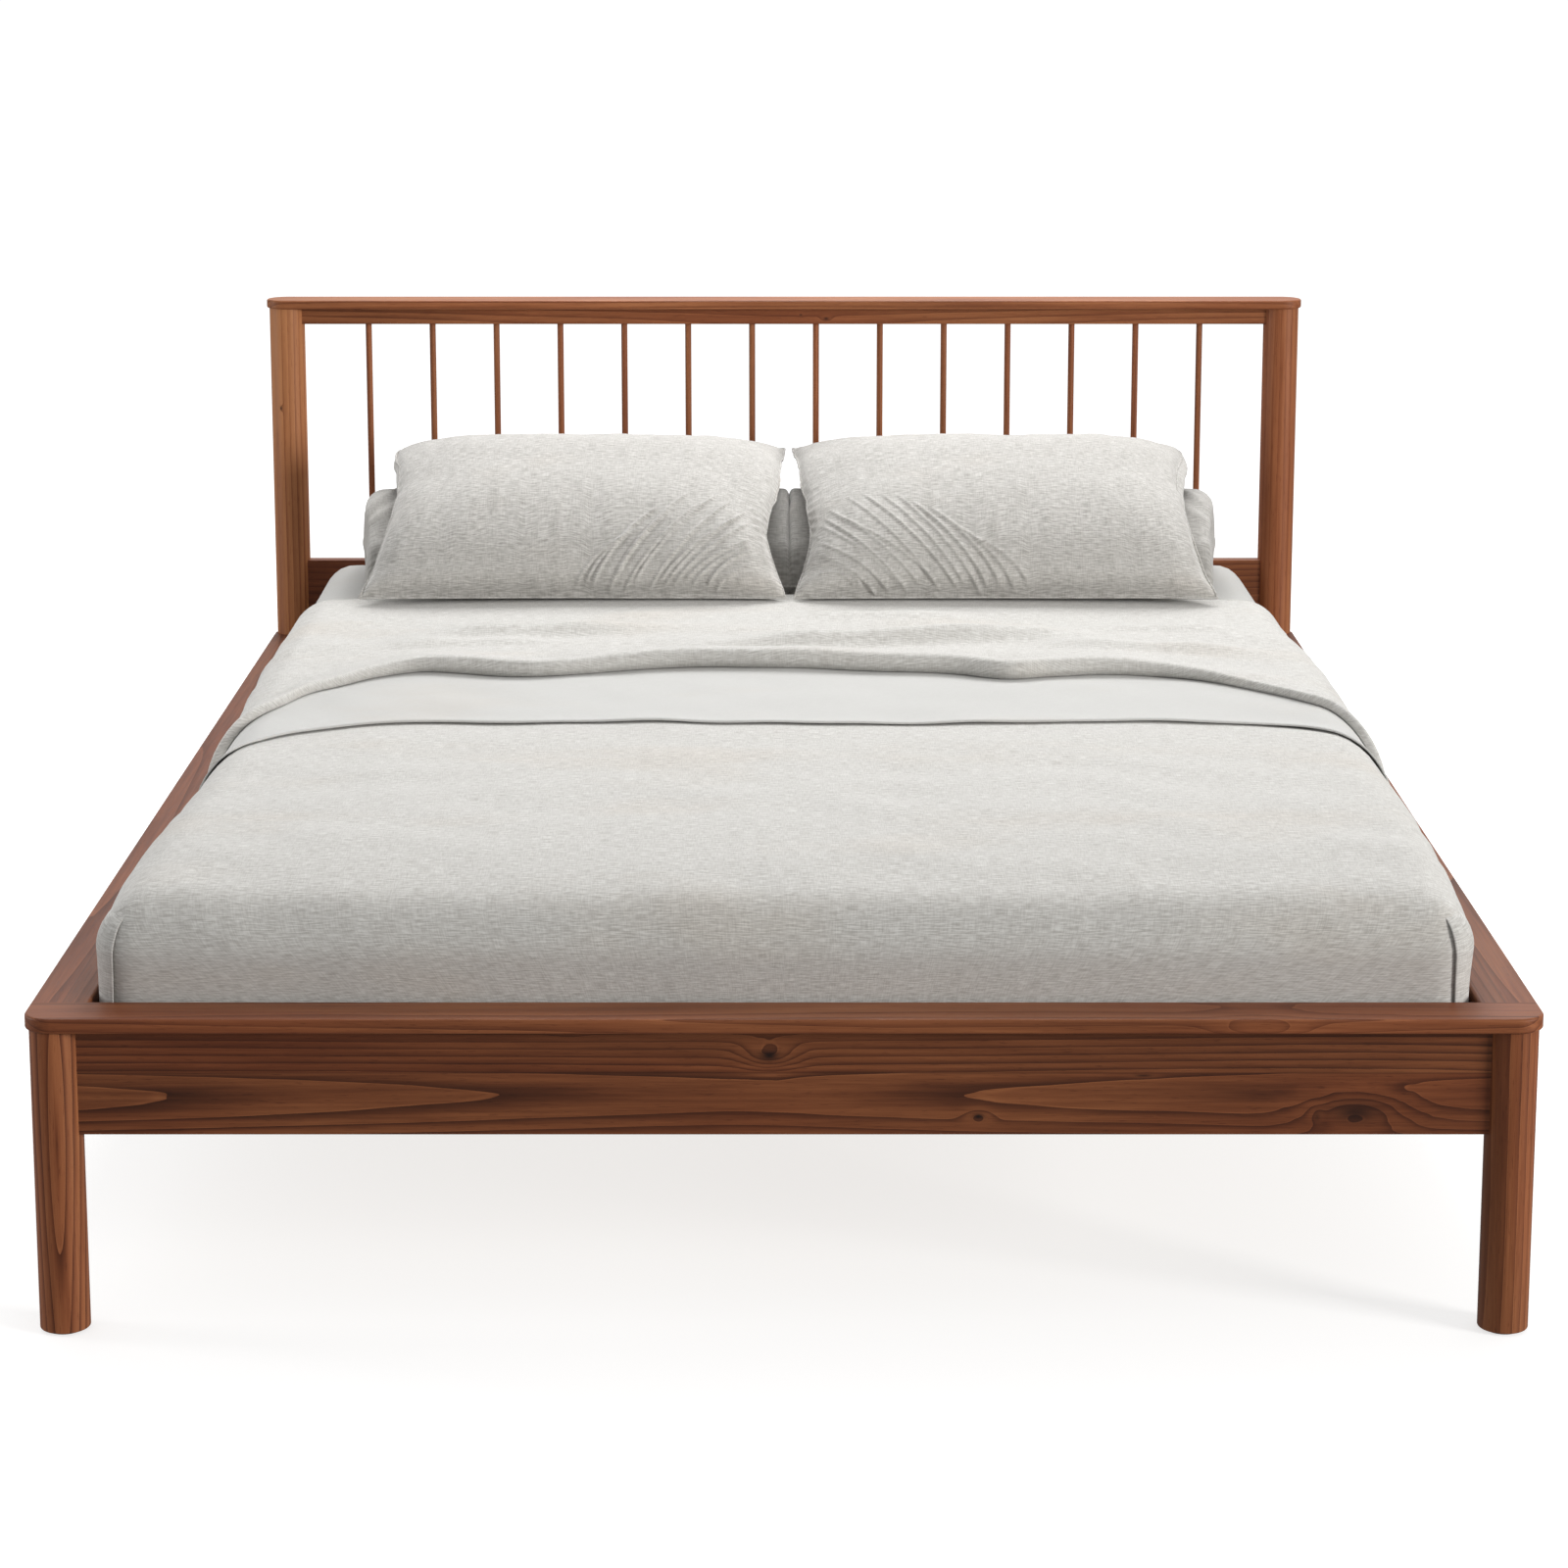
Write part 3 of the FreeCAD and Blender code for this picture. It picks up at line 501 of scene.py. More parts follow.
@dataclass(frozen=True)
class Linen:
    """Woven cloth. The weave follows the piece's own cloth map, a thick thread here and there runs
    pale or dark, and broad faint patches vary the tone."""

    name: str
    pale: Colour
    dark: Colour
    pitch: float = 0.0014
    heather: float = 0.5
    sheen: float = 0.25
    relief: float = 0.00022
    slub: float = 1000.0

    def build(self) -> bpy.types.Material:
        """The material: sine threads both ways, whose tone is drawn from noise stretched along each."""
        g = Graph.of_material(self.name)
        uv = g.nodes.new("ShaderNodeUVMap")
        uv.uv_map = CLOTH_UV
        u, v, _ = g.split(uv.outputs[0])
        weft = g.noise(g.join(g.calc("MULTIPLY", u, 60.0), g.calc("MULTIPLY", v, self.slub)), detail=2.0)
        warp = g.noise(g.join(g.calc("MULTIPLY", u, self.slub), g.calc("MULTIPLY", v, 60.0)), detail=2.0)
        cloud = g.noise(g.join(g.calc("MULTIPLY", u, 200.0), g.calc("MULTIPLY", v, 260.0)), detail=4.0,
                        roughness=0.65)
        threads = g.total(g.spread(weft, 0.72), g.spread(warp, 0.30))
        tone = g.total(g.calc("MULTIPLY", threads, 2.6 * self.heather),
                       g.spread(cloud, 0.55 * self.heather), 0.5)
        colour = g.ramp(tone, ((0.0, self.dark), (1.0, self.pale)))
        warm = g.span(g.noise(g.join(g.calc("MULTIPLY", u, 3.1), g.calc("MULTIPLY", v, 6.3), 4.0),
                              detail=3.0), 0.5, 0.75)
        colour = g.blend(g.calc("MULTIPLY", warm, 0.5), colour, screen((250, 243, 236)), "MULTIPLY")
        rate = 2 * math.pi / self.pitch
        across = g.calc("SINE", g.calc("MULTIPLY", u, rate))
        along = g.calc("SINE", g.calc("MULTIPLY", v, rate))
        weave = g.calc("MULTIPLY_ADD", g.calc("MULTIPLY", across, along), 0.5, 0.5)
        height = g.total(weave, g.calc("MULTIPLY", weft, 1.1), g.calc("MULTIPLY", warp, 1.1))
        return g.finish(colour, g.spread(weave, 0.06, -14.0), height, self.relief, 0.45,
                        Specular_IOR_Level=0.2, Sheen_Weight=self.sheen, Sheen_Roughness=0.5)


@dataclass(frozen=True)
class Metal:
    """Bright zinc-plated steel with a faint brushed variation."""

    name: str = "zinc_plate"

    def build(self) -> bpy.types.Material:
        """The material: grey metal whose tone and roughness vary with noise."""
        g = Graph.of_material(self.name)
        place = g.nodes.new("ShaderNodeTexCoord").outputs["Object"]
        cloud = g.noise(place, 60.0, 3.0)
        fine = g.noise(place, 900.0, 2.0)
        colour = g.ramp(cloud, ((0.3, (150, 152, 156)), (0.7, (196, 198, 200))))
        return g.finish(colour, g.spread(fine, 0.25, -1.2), fine, 0.0001, 0.3, Metallic=1.0)


@dataclass(frozen=True)
class Plastic:
    """Moulded plastic with a fine even texture."""

    name: str
    colour: Colour

    def build(self) -> bpy.types.Material:
        """The material: one tone with a little mottling, and a fine grain as relief."""
        g = Graph.of_material(self.name)
        place = g.nodes.new("ShaderNodeTexCoord").outputs["Object"]
        grain = g.noise(place, 1400.0, 2.0)
        lighter = tuple(min(255, value + 18) for value in self.colour)
        colour = g.ramp(g.noise(place, 90.0, 2.0), ((0.3, self.colour), (0.7, lighter)))
        return g.finish(colour, g.spread(grain, 0.2, -2.4), grain, 0.0001, 0.4, Specular_IOR_Level=0.4)


# ------------------------------------------------------------------------------------ wooden frame
@dataclass
class TimberFrame:
    """The stained frame: legs, posts, rails, caps and spindles, each dressed in its own wood."""

    leg_x: float = field(init=False)
    foot_face: float = field(init=False)
    panel_low: float = field(init=False)
    cap_top: float = field(init=False)

    def __post_init__(self) -> None:
        """Reads the places that the figure of the wood is set out from."""
        low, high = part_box("foot_leg_left")
        self.leg_x = -(low.x + high.x) / 2
        self.foot_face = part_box("footboard_panel")[0].y
        self.panel_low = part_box("footboard_panel")[0].z
        self.cap_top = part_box("footboard_cap")[1].z

    def woods(self) -> dict[str, StainedWood]:
        """Each node's wood. The foot panel is two boards, and its knots lie where they show most."""
        panel = self.panel_low
        face = self.foot_face
        # The foot panel's tone is set lower than the caps': partly the board's own darker wood, partly
        # painted shade of the cap's overhang.
        foot_panel = StainedWood(
            "wood_foot_panel", Grain.ALONG_X, (panel + 0.046, face + 0.0435), apex=-0.05, lean=0.028,
            contrast=0.44, tone=-0.070, wander=0.006, seed=3.0, joints=(panel + 0.071,),
            knots=(Knot(-0.016, panel + 0.091, 0.030, 0.016, 0.024, 0.36, 1.0),
                   Knot(0.214, panel + 0.021, 0.015, 0.009, 0.012, 0.42, 1.0),
                   Knot(0.630, panel + 0.026, 0.056, 0.024, 0.030, 0.50, 0.85),
                   Knot(0.587, panel + 0.021, 0.007, 0.010, 0.008, 0.6, 0.55),
                   Knot(0.395, panel + 0.068, 0.016, 0.0025, 0.004, 0.7, 0.8),
                   Knot(-0.235, panel + 0.118, 0.018, 0.006, 0.006, 0.6, 0.5)))
        woods = {
            "footboard_panel": foot_panel,
            "footboard_cap": StainedWood("wood_foot_cap", Grain.ALONG_X, (self.cap_top - 0.05, -1.03),
                                         apex=0.1, lean=0.02, tone=0.05, seed=11.0, contrast=0.34,
                                         knots=(Knot(0.52, self.cap_top - 0.012, 0.05, 0.012, 0.02,
                                                     0.1, 0.1),)),
            "headboard_cap": StainedWood("wood_head_cap", Grain.ALONG_X, (0.87, 1.02), seed=21.0,
                                         tone=0.15, contrast=0.3),
            "headboard_top_rail": StainedWood("wood_top_rail", Grain.ALONG_X, (0.86, 1.07), seed=25.0,
                                              tone=0.10, contrast=0.3,
                                              knots=(Knot(0.068, 0.885, 0.010, 0.005, 0.008, 0.5),
                                                     Knot(0.027, 0.891, 0.005, 0.003, 0.003, 0.5))),
            "headboard_lower_rail": StainedWood("wood_lower_rail", Grain.ALONG_X, (0.40, 1.09),
                                                seed=29.0, tone=-0.06, contrast=0.32),
            "foot_leg_left": StainedWood("wood_foot_leg_left", Grain.ALONG_Z,
                                         (-self.leg_x + 0.002, face - 0.0020), apex=0.42, lean=0.07,
                                         tone=0.14, seed=33.0, contrast=0.5, wander=0.003),
            "foot_leg_right": StainedWood("wood_foot_leg_right", Grain.ALONG_Z,
                                          (self.leg_x + 0.05, face + 0.03), apex=0.1, lean=0.01,
                                          tone=0.08, seed=37.0, contrast=0.3, wander=0.004),
            "head_post_left": StainedWood("wood_post_left", Grain.ALONG_Z,
                                          (-self.leg_x - 0.03, 1.02), lean=0.01, tone=0.30, seed=41.0,
                                          contrast=0.34,
                                          knots=(Knot(0.741, -self.leg_x - 0.010, 0.006, 0.003, 0.004,
                                                      0.6),)),
            "head_post_right": StainedWood("wood_post_right", Grain.ALONG_Z, (self.leg_x - 0.02, 1.03),
                                           lean=0.012, tone=0.18, seed=45.0, contrast=0.38),
        }
        for side, seed in (("left", 51.0), ("right", 57.0)):
            sign = -1 if side == "left" else 1
            woods[f"side_cap_{side}"] = StainedWood(
                f"wood_side_cap_{side}", Grain.ALONG_Y, (sign * (self.leg_x + 0.03), 0.33), apex=-0.3,
                lean=0.012, tone=-0.02, seed=seed, contrast=0.3,
                joints=(sign * (self.leg_x - 0.004),))
            woods[f"side_rail_{side}"] = StainedWood(
                f"wood_side_rail_{side}", Grain.ALONG_Y, (sign * (self.leg_x - 0.05), 0.29), apex=0.2,
                lean=0.02, tone=0.0, seed=seed + 3, contrast=0.36)
        spindle = StainedWood("wood_spindles", Grain.ALONG_Z, (0.0, 1.02), lean=0.01, tone=0.12,
                              seed=63.0, contrast=0.25, wander=0.03)
        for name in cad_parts:
            if name.startswith("spindle_"):
                woods[name] = spindle
        return woods

    def dress(self) -> None:
        """Gives every stained node its wood, building each wood once."""
        built: dict[str, bpy.types.Material] = {}
        woods = self.woods()
        for node, wood in woods.items():
            if wood.name not in built:
                built[wood.name] = wood.build()
            dress_node(node, built[wood.name])
        log.info("timber frame: %d nodes in %d woods", len(woods), len(built))


def dress_node(node: str, material: bpy.types.Material) -> None:
    """Puts a finish on a CAD node."""
    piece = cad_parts[node]
    piece.data.materials.clear()
    piece.data.materials.append(material)


@dataclass
class SlattedBase:
    """What carries the mattress: slats, ledgers, the beam with its legs, and all the hardware."""

    def dress(self) -> None:
        """Dresses the plain wood, the steel and the plastic."""
        pine_across = StainedWood("pine_across", Grain.ALONG_X, (0.21, 0.4), seed=71.0, contrast=0.4,
                                  wander=0.03, stain=Stain.PINE).build()
        pine_along = StainedWood("pine_along", Grain.ALONG_Y, (0.03, 0.20), seed=75.0, contrast=0.4,
                                 stain=Stain.PINE).build()
        pine_upright = StainedWood("pine_upright", Grain.ALONG_Z, (0.02, 0.1), seed=79.0,
                                   contrast=0.35, stain=Stain.PINE).build()
        steel = Metal().build()
        glide = Plastic("glide_plastic", (58, 56, 54)).build()
        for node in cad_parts:
            if node.startswith("slat_ledger") or node == "centre_beam":
                dress_node(node, pine_along)
            elif node.startswith("slat_"):
                dress_node(node, pine_across)
            elif node.startswith("support_leg"):
                dress_node(node, pine_upright)
            elif node.startswith("levelling_foot") or node in ("beam_hangers", "bed_bolts",
                                                               "barrel_nuts", "wood_screws"):
                dress_node(node, steel)
            elif node == "leg_glides":
                dress_node(node, glide)
        log.info("slatted base and hardware dressed")


# ---------------------------------------------------------------------------- mattress and bedding
@dataclass
class MattressForm:
    """The mattress as a surface that every layer of bedding follows. A place on it is a depth up its
    side, round its edge and inwards over its top, and a way round it."""

    rounding: float = 0.055
    corner: float = 0.038
    least_corner: float = 0.012
    crown: float = 0.008
    side_draw: float = 0.003
    foot_drop: float = 0.026
    low: Vector = field(init=False)
    high: Vector = field(init=False)
    # how far each side's cloth stands in from (-) or beyond (+) the straight side, from foot to head
    left_give: tuple = ((-1.02, 0.0), (-0.75, -0.008), (-0.40, -0.026), (-0.15, -0.032), (0.00, -0.027),
                        (0.25, -0.022), (0.60, -0.022), (1.03, -0.018))
    right_give: tuple = ((-1.02, 0.0), (-0.87, 0.004), (-0.55, 0.008), (-0.20, 0.003), (0.10, 0.006),
                         (0.30, 0.000), (0.45, -0.012), (0.65, -0.014), (1.03, -0.016))

    def __post_init__(self) -> None:
        """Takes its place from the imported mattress."""
        self.low, self.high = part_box("mattress")
        self.half_width = (self.high.x - self.low.x) / 2
        self.half_length = (self.high.y - self.low.y) / 2
        self.middle_y = (self.high.y + self.low.y) / 2
        self.edge_z = self.high.z - self.crown - self.rounding
        self.wall = self.edge_z - self.low.z
        self.bend = self.rounding * math.pi / 2
        self.flat = self.half_width - self.rounding
        self.reach = self.wall + self.bend + self.flat

    def profile(self, depth: Array) -> tuple[Array, Array, Array, Array]:
        """The section at a depth along it from the mattress's bottom edge: straight side, quarter
        circle, then a top that rises by the crown as 1 - (1 - share)^2.

        Args:
            depth: how far along the section, in metres.

        Returns:
            The inset from the outermost side, the height, and the normal's outward and upward parts.
        """
        turn = np.clip((depth - self.wall) / self.rounding, 0, math.pi / 2)
        over = np.clip(depth - self.wall - self.bend, 0, None)
        share = np.clip(over / self.flat, 0, 1)
        up = np.clip(depth, 0, self.wall)
        inset = self.rounding * (1 - np.cos(turn)) + over
        inset = inset + self.side_draw * np.sin(math.pi * np.clip(up / self.wall, 0, 1))
        height = self.low.z + up + self.rounding * np.sin(turn)
        height = height + self.crown * (1 - (1 - share) ** 2)
        return inset, height, np.cos(turn), np.sin(turn)

    def give(self, points: Array) -> Array:
        """Moves points sideways, as the cloth is drawn in or stands out along each side.

        Args:
            points: places in the frame, X, Y, Z last.

        Returns:
            The moved places.
        """
        moved = points.copy()
        x, y, z = points[..., 0], points[..., 1], points[..., 2]
        outer = ease(np.abs(x), 0.45, self.half_width - 0.01) * ease(z, 0.372, 0.425)
        left, right = np.array(self.left_give), np.array(self.right_give)
        shift_left = through(left[:, 0], left[:, 1], y)
        shift_right = through(right[:, 0], right[:, 1], y)
        moved[..., 0] += np.where(x < 0, -shift_left, shift_right) * outer
        return moved

    def rumple(self, points: Array) -> Array:
        """Raises the top by the bedding's gentle hollows and swells, flat again under the pillows."""
        moved = points.copy()
        x, y = points[..., 0], points[..., 1]
        top = ease(points[..., 2], self.edge_z + 0.02, self.high.z - 0.006)
        drop = self.foot_drop * np.clip((-y - 0.78) / 0.24, 0, 1) ** 2
        moved[..., 2] -= drop * ease(points[..., 2], 0.35, 0.48)
        bed = 1 - ease(y, 0.44, 0.56)
        swell = 1.6 * ripples(x, y * 1.6, 0.34, 5) + 0.8 * ripples(x, y, 0.13, 6)
        moved[..., 2] += swell * MM * top * bed
        return moved

    def ring(self, hem: float, offset: float, half_columns: int) -> tuple[Array, Array, Array]:
        """A rectangular grid wrapped over the form, whose rings of points become level outlines:
        the outermost ring is the hem, and the innermost the middle line of the top.

        A point's ring is its least distance, in cells, from the grid's border. Its side of the ring
        and its share of that side give its place on a rounded outline, between corner middles.

        Args:
            hem: the depth of the outermost ring.
            offset: how far outside the form the grid lies.
            half_columns: rings from the border to the middle.

        Returns:
            The points, their places on the flat cloth, and the quads.
        """
        columns = 2 * half_columns
        cell = (self.reach - hem) / half_columns
        rows = columns + 2 * round((self.half_length - self.half_width) / cell)
        j, i = np.meshgrid(np.arange(rows + 1), np.arange(columns + 1), indexing="ij")
        k = np.minimum.reduce([i, columns - i, j, rows - j])
        inset, height, outward, upward = self.profile(hem + k * cell)
        outer_x = self.half_width - inset + offset * outward
        outer_y = self.half_length - inset + offset * outward
        radius = np.maximum(self.corner - inset * 0.75, self.least_corner)
        radius = np.minimum(radius + offset * outward, np.maximum(outer_x, 1e-4))
        front, back = j == k, rows - j == k
        right = (columns - i == k) & ~front & ~back
        across = front | back
        run = np.where(across, i - k, j - k) / np.maximum(np.where(across, columns, rows) - 2 * k, 1)
        along_half = np.where(across, outer_x, outer_y)
        out_half = np.where(across, outer_y, outer_x)
        quarter = radius * math.pi / 4
        straight = 2 * (along_half - radius)
        travel = run * (2 * quarter + straight)
        first = np.clip((quarter - travel) / radius, 0, math.pi / 4)
        last = np.clip((travel - quarter - straight) / radius, 0, math.pi / 4)
        middle = np.clip(travel - quarter, 0, straight) - straight / 2
        p = middle - radius * np.sin(first) + radius * np.sin(last)
        q = out_half - radius * (1 - np.cos(first)) - radius * (1 - np.cos(last))
        x = np.where(front | back, p, np.where(right, q, -q))
        y = np.where(front, -q, np.where(back, q, p))
        z = height + offset * upward
        points = np.stack([x, y + self.middle_y, z], axis=-1)
        cloth = np.stack([(i - half_columns) * cell, (j - rows / 2) * cell], axis=-1)
        faces = grid_faces(rows + 1, columns + 1)[:, ::-1]
        return points, cloth, faces

    def across(self, run: Array, y: Array, offset: Array) -> Array:
        """Places on a section across the bed: straight over the top, round the edge, down the side.

        Args:
            run: signed distance from the middle line along the section.
            y: the section's place.
            offset: how far outside the form.

        Returns:
            The places, X, Y, Z last.
        """
        inset, height, outward, upward = self.profile(self.reach - np.abs(run))
        x = np.sign(run) * (self.half_width - inset + offset * outward)
        return np.stack([x, y + 0 * x, height + offset * upward], axis=-1)

    def run_at(self, height: float) -> float:
        """How far along the section, from the middle line, a height on the side is."""
        return self.reach - (height - self.low.z)


@dataclass
class Bedding:
    """The mattress in its ticking, the fitted sheet, the cover with its corner tucks, the cuff of the
    top sheet turned down over it, and the folded cover on top."""

    form: MattressForm
    mattress_inset: float = 1.5 * MM
    sheet_outer: float = 1.3 * MM
    cover_outer: float = 3.6 * MM
    cuff_outer: float = 5.9 * MM
    fold_outer: float = 12.2 * MM
    sheet_thickness: float = 1.0 * MM
    cover_thickness: float = 2.0 * MM
    fold_thickness: float = 2.0 * MM
    half_columns: int = 78
    # the lower hem's and the rolled fold's places along the bed, by the run across from the middle
    hem_line: tuple = ((-0.90, -0.46), (-0.80, -0.40), (-0.74, -0.34), (-0.69, -0.275), (-0.64, -0.240),
                       (-0.57, -0.215), (-0.50, -0.203), (-0.31, -0.216), (0.0, -0.227), (0.33, -0.216),
                       (0.52, -0.195), (0.62, -0.204), (0.70, -0.235), (0.75, -0.300), (0.80, -0.370),
                       (0.90, -0.47))
    fold_line: tuple = ((-0.90, -0.34), (-0.80, -0.265), (-0.755, -0.19), (-0.71, -0.120),
                        (-0.675, -0.045), (-0.63, 0.012), (-0.58, 0.062), (-0.52, 0.092),
                        (-0.45, 0.085), (-0.35, 0.062), (-0.24, 0.085),
                        (-0.14, 0.105), (0.0, 0.096), (0.12, 0.088), (0.24, 0.072), (0.31, 0.038),
                        (0.37, 0.060), (0.44, 0.078), (0.54, 0.066), (0.62, 0.012), (0.70, -0.07),
                        (0.755, -0.17), (0.80, -0.26), (0.90, -0.38))
    head_edge: float = 0.625
    roll: float = 0.0128
    under_fold: float = 0.11
    # how far up the mattress's side the hems stand, and the heights that the upper layers hang down to
    sheet_hem: float = 0.018
    cover_hem: float = 0.030
    cuff_low: float = 0.373
    fold_low: float = 0.374
    # the corner tucks: how far onto the foot face, how far along the side, past the wall, and their wall
    tuck_front: float = 0.0165
    tuck_side: float = 0.03
    tuck_rise: float = 0.050
    tuck_thickness: float = 0.0012
    # the taped edge: its depth up the side, how far it stands out, and its radius
    tape: tuple[float, float, float] = (0.006, 0.0015, 0.0035)
    # creases of the cover: start, end, bow, height in mm
    cover_creases: tuple = (
        ((-0.24, -0.99), (-0.18, -0.975), 0.004, 1.6), ((-0.02, -0.80), (0.05, -0.775), 0.006, 1.3),
        ((0.30, -0.93), (0.42, -0.90), 0.01, 1.4), ((-0.52, -0.86), (-0.40, -0.885), 0.01, 1.2),
        ((-0.15, -0.55), (0.05, -0.50), 0.012, 1.4), ((0.28, -0.42), (0.52, -0.45), 0.015, 1.5),
        ((0.50, -0.80), (0.64, -0.74), 0.01, 1.3), ((-0.62, -0.52), (-0.45, -0.47), 0.012, 1.3))
    # creases of the fold: start, end, bow, height in mm, half width
    fold_creases: tuple = (
        ((-0.24, 0.215), (0.52, 0.345), -0.022, 21.0, 0.017),
        ((0.30, 0.25), (0.72, 0.20), 0.02, 12.0, 0.017),
        ((-0.64, 0.24), (-0.26, 0.27), 0.012, 8.0, 0.018),
        ((0.40, 0.37), (0.70, 0.37), 0.01, 9.0, 0.018),
        ((-0.58, 0.325), (-0.14, 0.375), -0.02, 18.0, 0.018),
        ((-0.10, 0.445), (0.34, 0.43), 0.015, 9.0, 0.018))

    def linen(self) -> bpy.types.Material:
        """The cover's heathered linen, shared by its fold."""
        return Linen("cover_linen", (213, 212, 208), (170, 167, 162), heather=0.9, slub=700.0).build()

    def cotton(self) -> bpy.types.Material:
        """The sheets' smoother, cooler cotton."""
        return Linen("sheet_cotton", (198, 198, 195), (180, 179, 176), pitch=0.0007, heather=0.4,
                     relief=0.0001, slub=1300.0).build()

    def mattress(self) -> bpy.types.Object:
        """The mattress: the wrapped form, closed below by a flat panel, with a taped bottom edge."""
        points, cloth, faces = self.form.ring(0.0, -self.mattress_inset, self.half_columns)
        points = self.form.give(self.form.rumple(points))
        rows, columns = points.shape[:2]
        below = points.copy()
        below[..., 2] = self.form.low.z
        count = rows * columns
        both = np.concatenate([points.reshape(-1, 3), below.reshape(-1, 3)])
        all_faces = np.concatenate([faces, faces[:, ::-1] + count])
        piece = new_piece("mattress_body", both, all_faces, np.concatenate([cloth, cloth]))
        merge_near(piece)
        ticking = Linen("mattress_ticking", (232, 230, 224), (214, 211, 203), pitch=0.0009,
                        relief=0.0001, heather=0.2).build()
        piece.data.materials.append(ticking)
        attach(piece, "mattress")
        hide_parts("mattress")
        depth, offset, radius = self.tape
        cord_points, cord_faces = tube(points_round(self.form, depth, offset), radius)
        tape = new_piece("mattress_tape_edge", cord_points, cord_faces, cord_points[:, :2])
        tape.data.materials.append(ticking)
        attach(tape, "mattress")
        return piece

    def fitted_sheet(self) -> bpy.types.Object:
        """The fitted sheet: the wrapped grid from its hem, low on the side, over the whole top."""
        points, cloth, faces = self.form.ring(self.sheet_hem, self.sheet_outer, self.half_columns)
        points = self.form.give(self.form.rumple(points))
        piece = new_piece("fitted_sheet_cloth", points, faces, cloth)
        solidify(piece, self.sheet_thickness)
        piece.data.materials.append(self.cotton())
        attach(piece, "mattress")
        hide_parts("fitted_sheet")
        return piece

    def cover(self, linen: bpy.types.Material) -> bpy.types.Object:
        """The cover, tucked in at the foot and the sides, its grid cut off at its head edge."""
        points, cloth, faces = self.form.ring(self.cover_hem, self.cover_outer, self.half_columns)
        keep = (points.reshape(-1, 3)[faces][:, :, 1] < self.head_edge + 0.004).all(axis=1)
        points = self.form.rumple(points)
        points[..., 1] = np.minimum(points[..., 1], self.head_edge)
        normals = -grid_normals(points)
        x, y = points[..., 0], points[..., 1]
        foot = ease(-y, 0.2, 0.5)
        lift = 0.9 * MM * ripples(x, y * 2.2, 0.21, 11) * foot
        for start, end, bow, height in self.cover_creases:
            lift = lift + height * MM * crease(x, y, start, end, bow, 0.007)
        face = ease(-y, 0.985, 1.003)
        lift = lift + 3.6 * MM * face * crease(np.abs(x), points[..., 2], (0.745, 0.478), (0.57, 0.452),
                                               0.010, 0.013, 1.0, 0.3)
        points = points + normals * lift[..., None]
        points = self.form.give(points)
        piece = new_piece("bed_cover_cloth", points, faces[keep], cloth)
        solidify(piece, self.cover_thickness)
        piece.data.materials.append(linen)
        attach(piece, "mattress")
        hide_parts("bed_cover")
        return piece

    def corner_tuck(self, side: int, linen: bpy.types.Material) -> bpy.types.Object:
        """The fold of a mitred corner: cloth of the side wrapped a little way onto the foot face.

        The strip runs round the corner from its free front edge to the side, and from the hem to its
        point near the top. It stands proud at its front edge and dies away to the side and the top.

        Args:
            side: -1 for the left corner and 1 for the right.
            linen: the cover's material.

        Returns:
            The strip.
        """
        form = self.form
        front_x = form.half_width - self.tuck_front
        radius = form.corner
        share, up = np.meshgrid(np.linspace(0, 1, 34), np.linspace(0, 1, 40), indexing="ij")
        depth = self.cover_hem + up * (form.wall - self.cover_hem + self.tuck_rise)
        inset, height, outward, upward = form.profile(depth)
        lean = 0.006 * up
        length = radius * math.pi / 2 + self.tuck_side
        start = front_x - (form.half_width - radius)
        travel = start + share * (length - start) - lean
        travel = np.clip(travel, 0.001, None)
        turn = np.clip(travel / radius, 0, math.pi / 2)
        past = np.clip(travel - radius * math.pi / 2, 0, None)
        stand = self.cover_outer + 0.0004 + 0.0030 * (1 - ease(share, 0.3, 1.0)) * (1 - ease(up, 0.86, 1.0))
        stand = stand - 0.0018 * ease(share, 0.85, 1.0) - 0.0030 * ease(up, 0.90, 1.0)
        reach = radius + stand * outward - inset
        x = form.half_width - radius + reach * np.sin(turn)
        y = form.low.y + radius - reach * np.cos(turn) + past
        z = height + stand * upward
        points = form.give(form.rumple(np.stack([side * x, y, z], axis=-1)))
        faces = grid_faces(*share.shape)
        if side < 0:
            faces = faces[:, ::-1]
        cloth = np.stack([travel, depth], axis=-1)
        piece = new_piece(f"cover_tuck_{'left' if side < 0 else 'right'}", points, faces, cloth)
        solidify(piece, self.tuck_thickness)
        piece.data.materials.append(linen)
        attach(piece, "mattress")
        return piece

    def cuff(self) -> bpy.types.Object:
        """The top sheet's cuff: from its hem across the bed to the head edge of the bedding."""
        half = self.form.run_at(self.cuff_low)
        run, share = np.meshgrid(np.linspace(-half, half, 190), np.linspace(0, 1, 96), indexing="ij")
        line = np.array(self.hem_line)
        edge = through(line[:, 0], line[:, 1], run)
        y = edge + share * (self.head_edge - 0.002 - edge)
        puff = 2.6 * MM * bell(y - edge, 0.004, 0.022) + 0.5 * MM * ripples(run, y, 0.16, 17)
        points = self.form.across(run, y, self.cuff_outer + np.maximum(puff, 0))
        points = self.form.give(self.form.rumple(points))
        piece = new_piece("sheet_cuff_cloth", points, grid_faces(*run.shape), np.stack([run, y], -1))
        solidify(piece, self.cover_thickness)
        piece.data.materials.append(self.cotton())
        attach(piece, "mattress")
        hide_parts("sheet_cuff")
        return piece

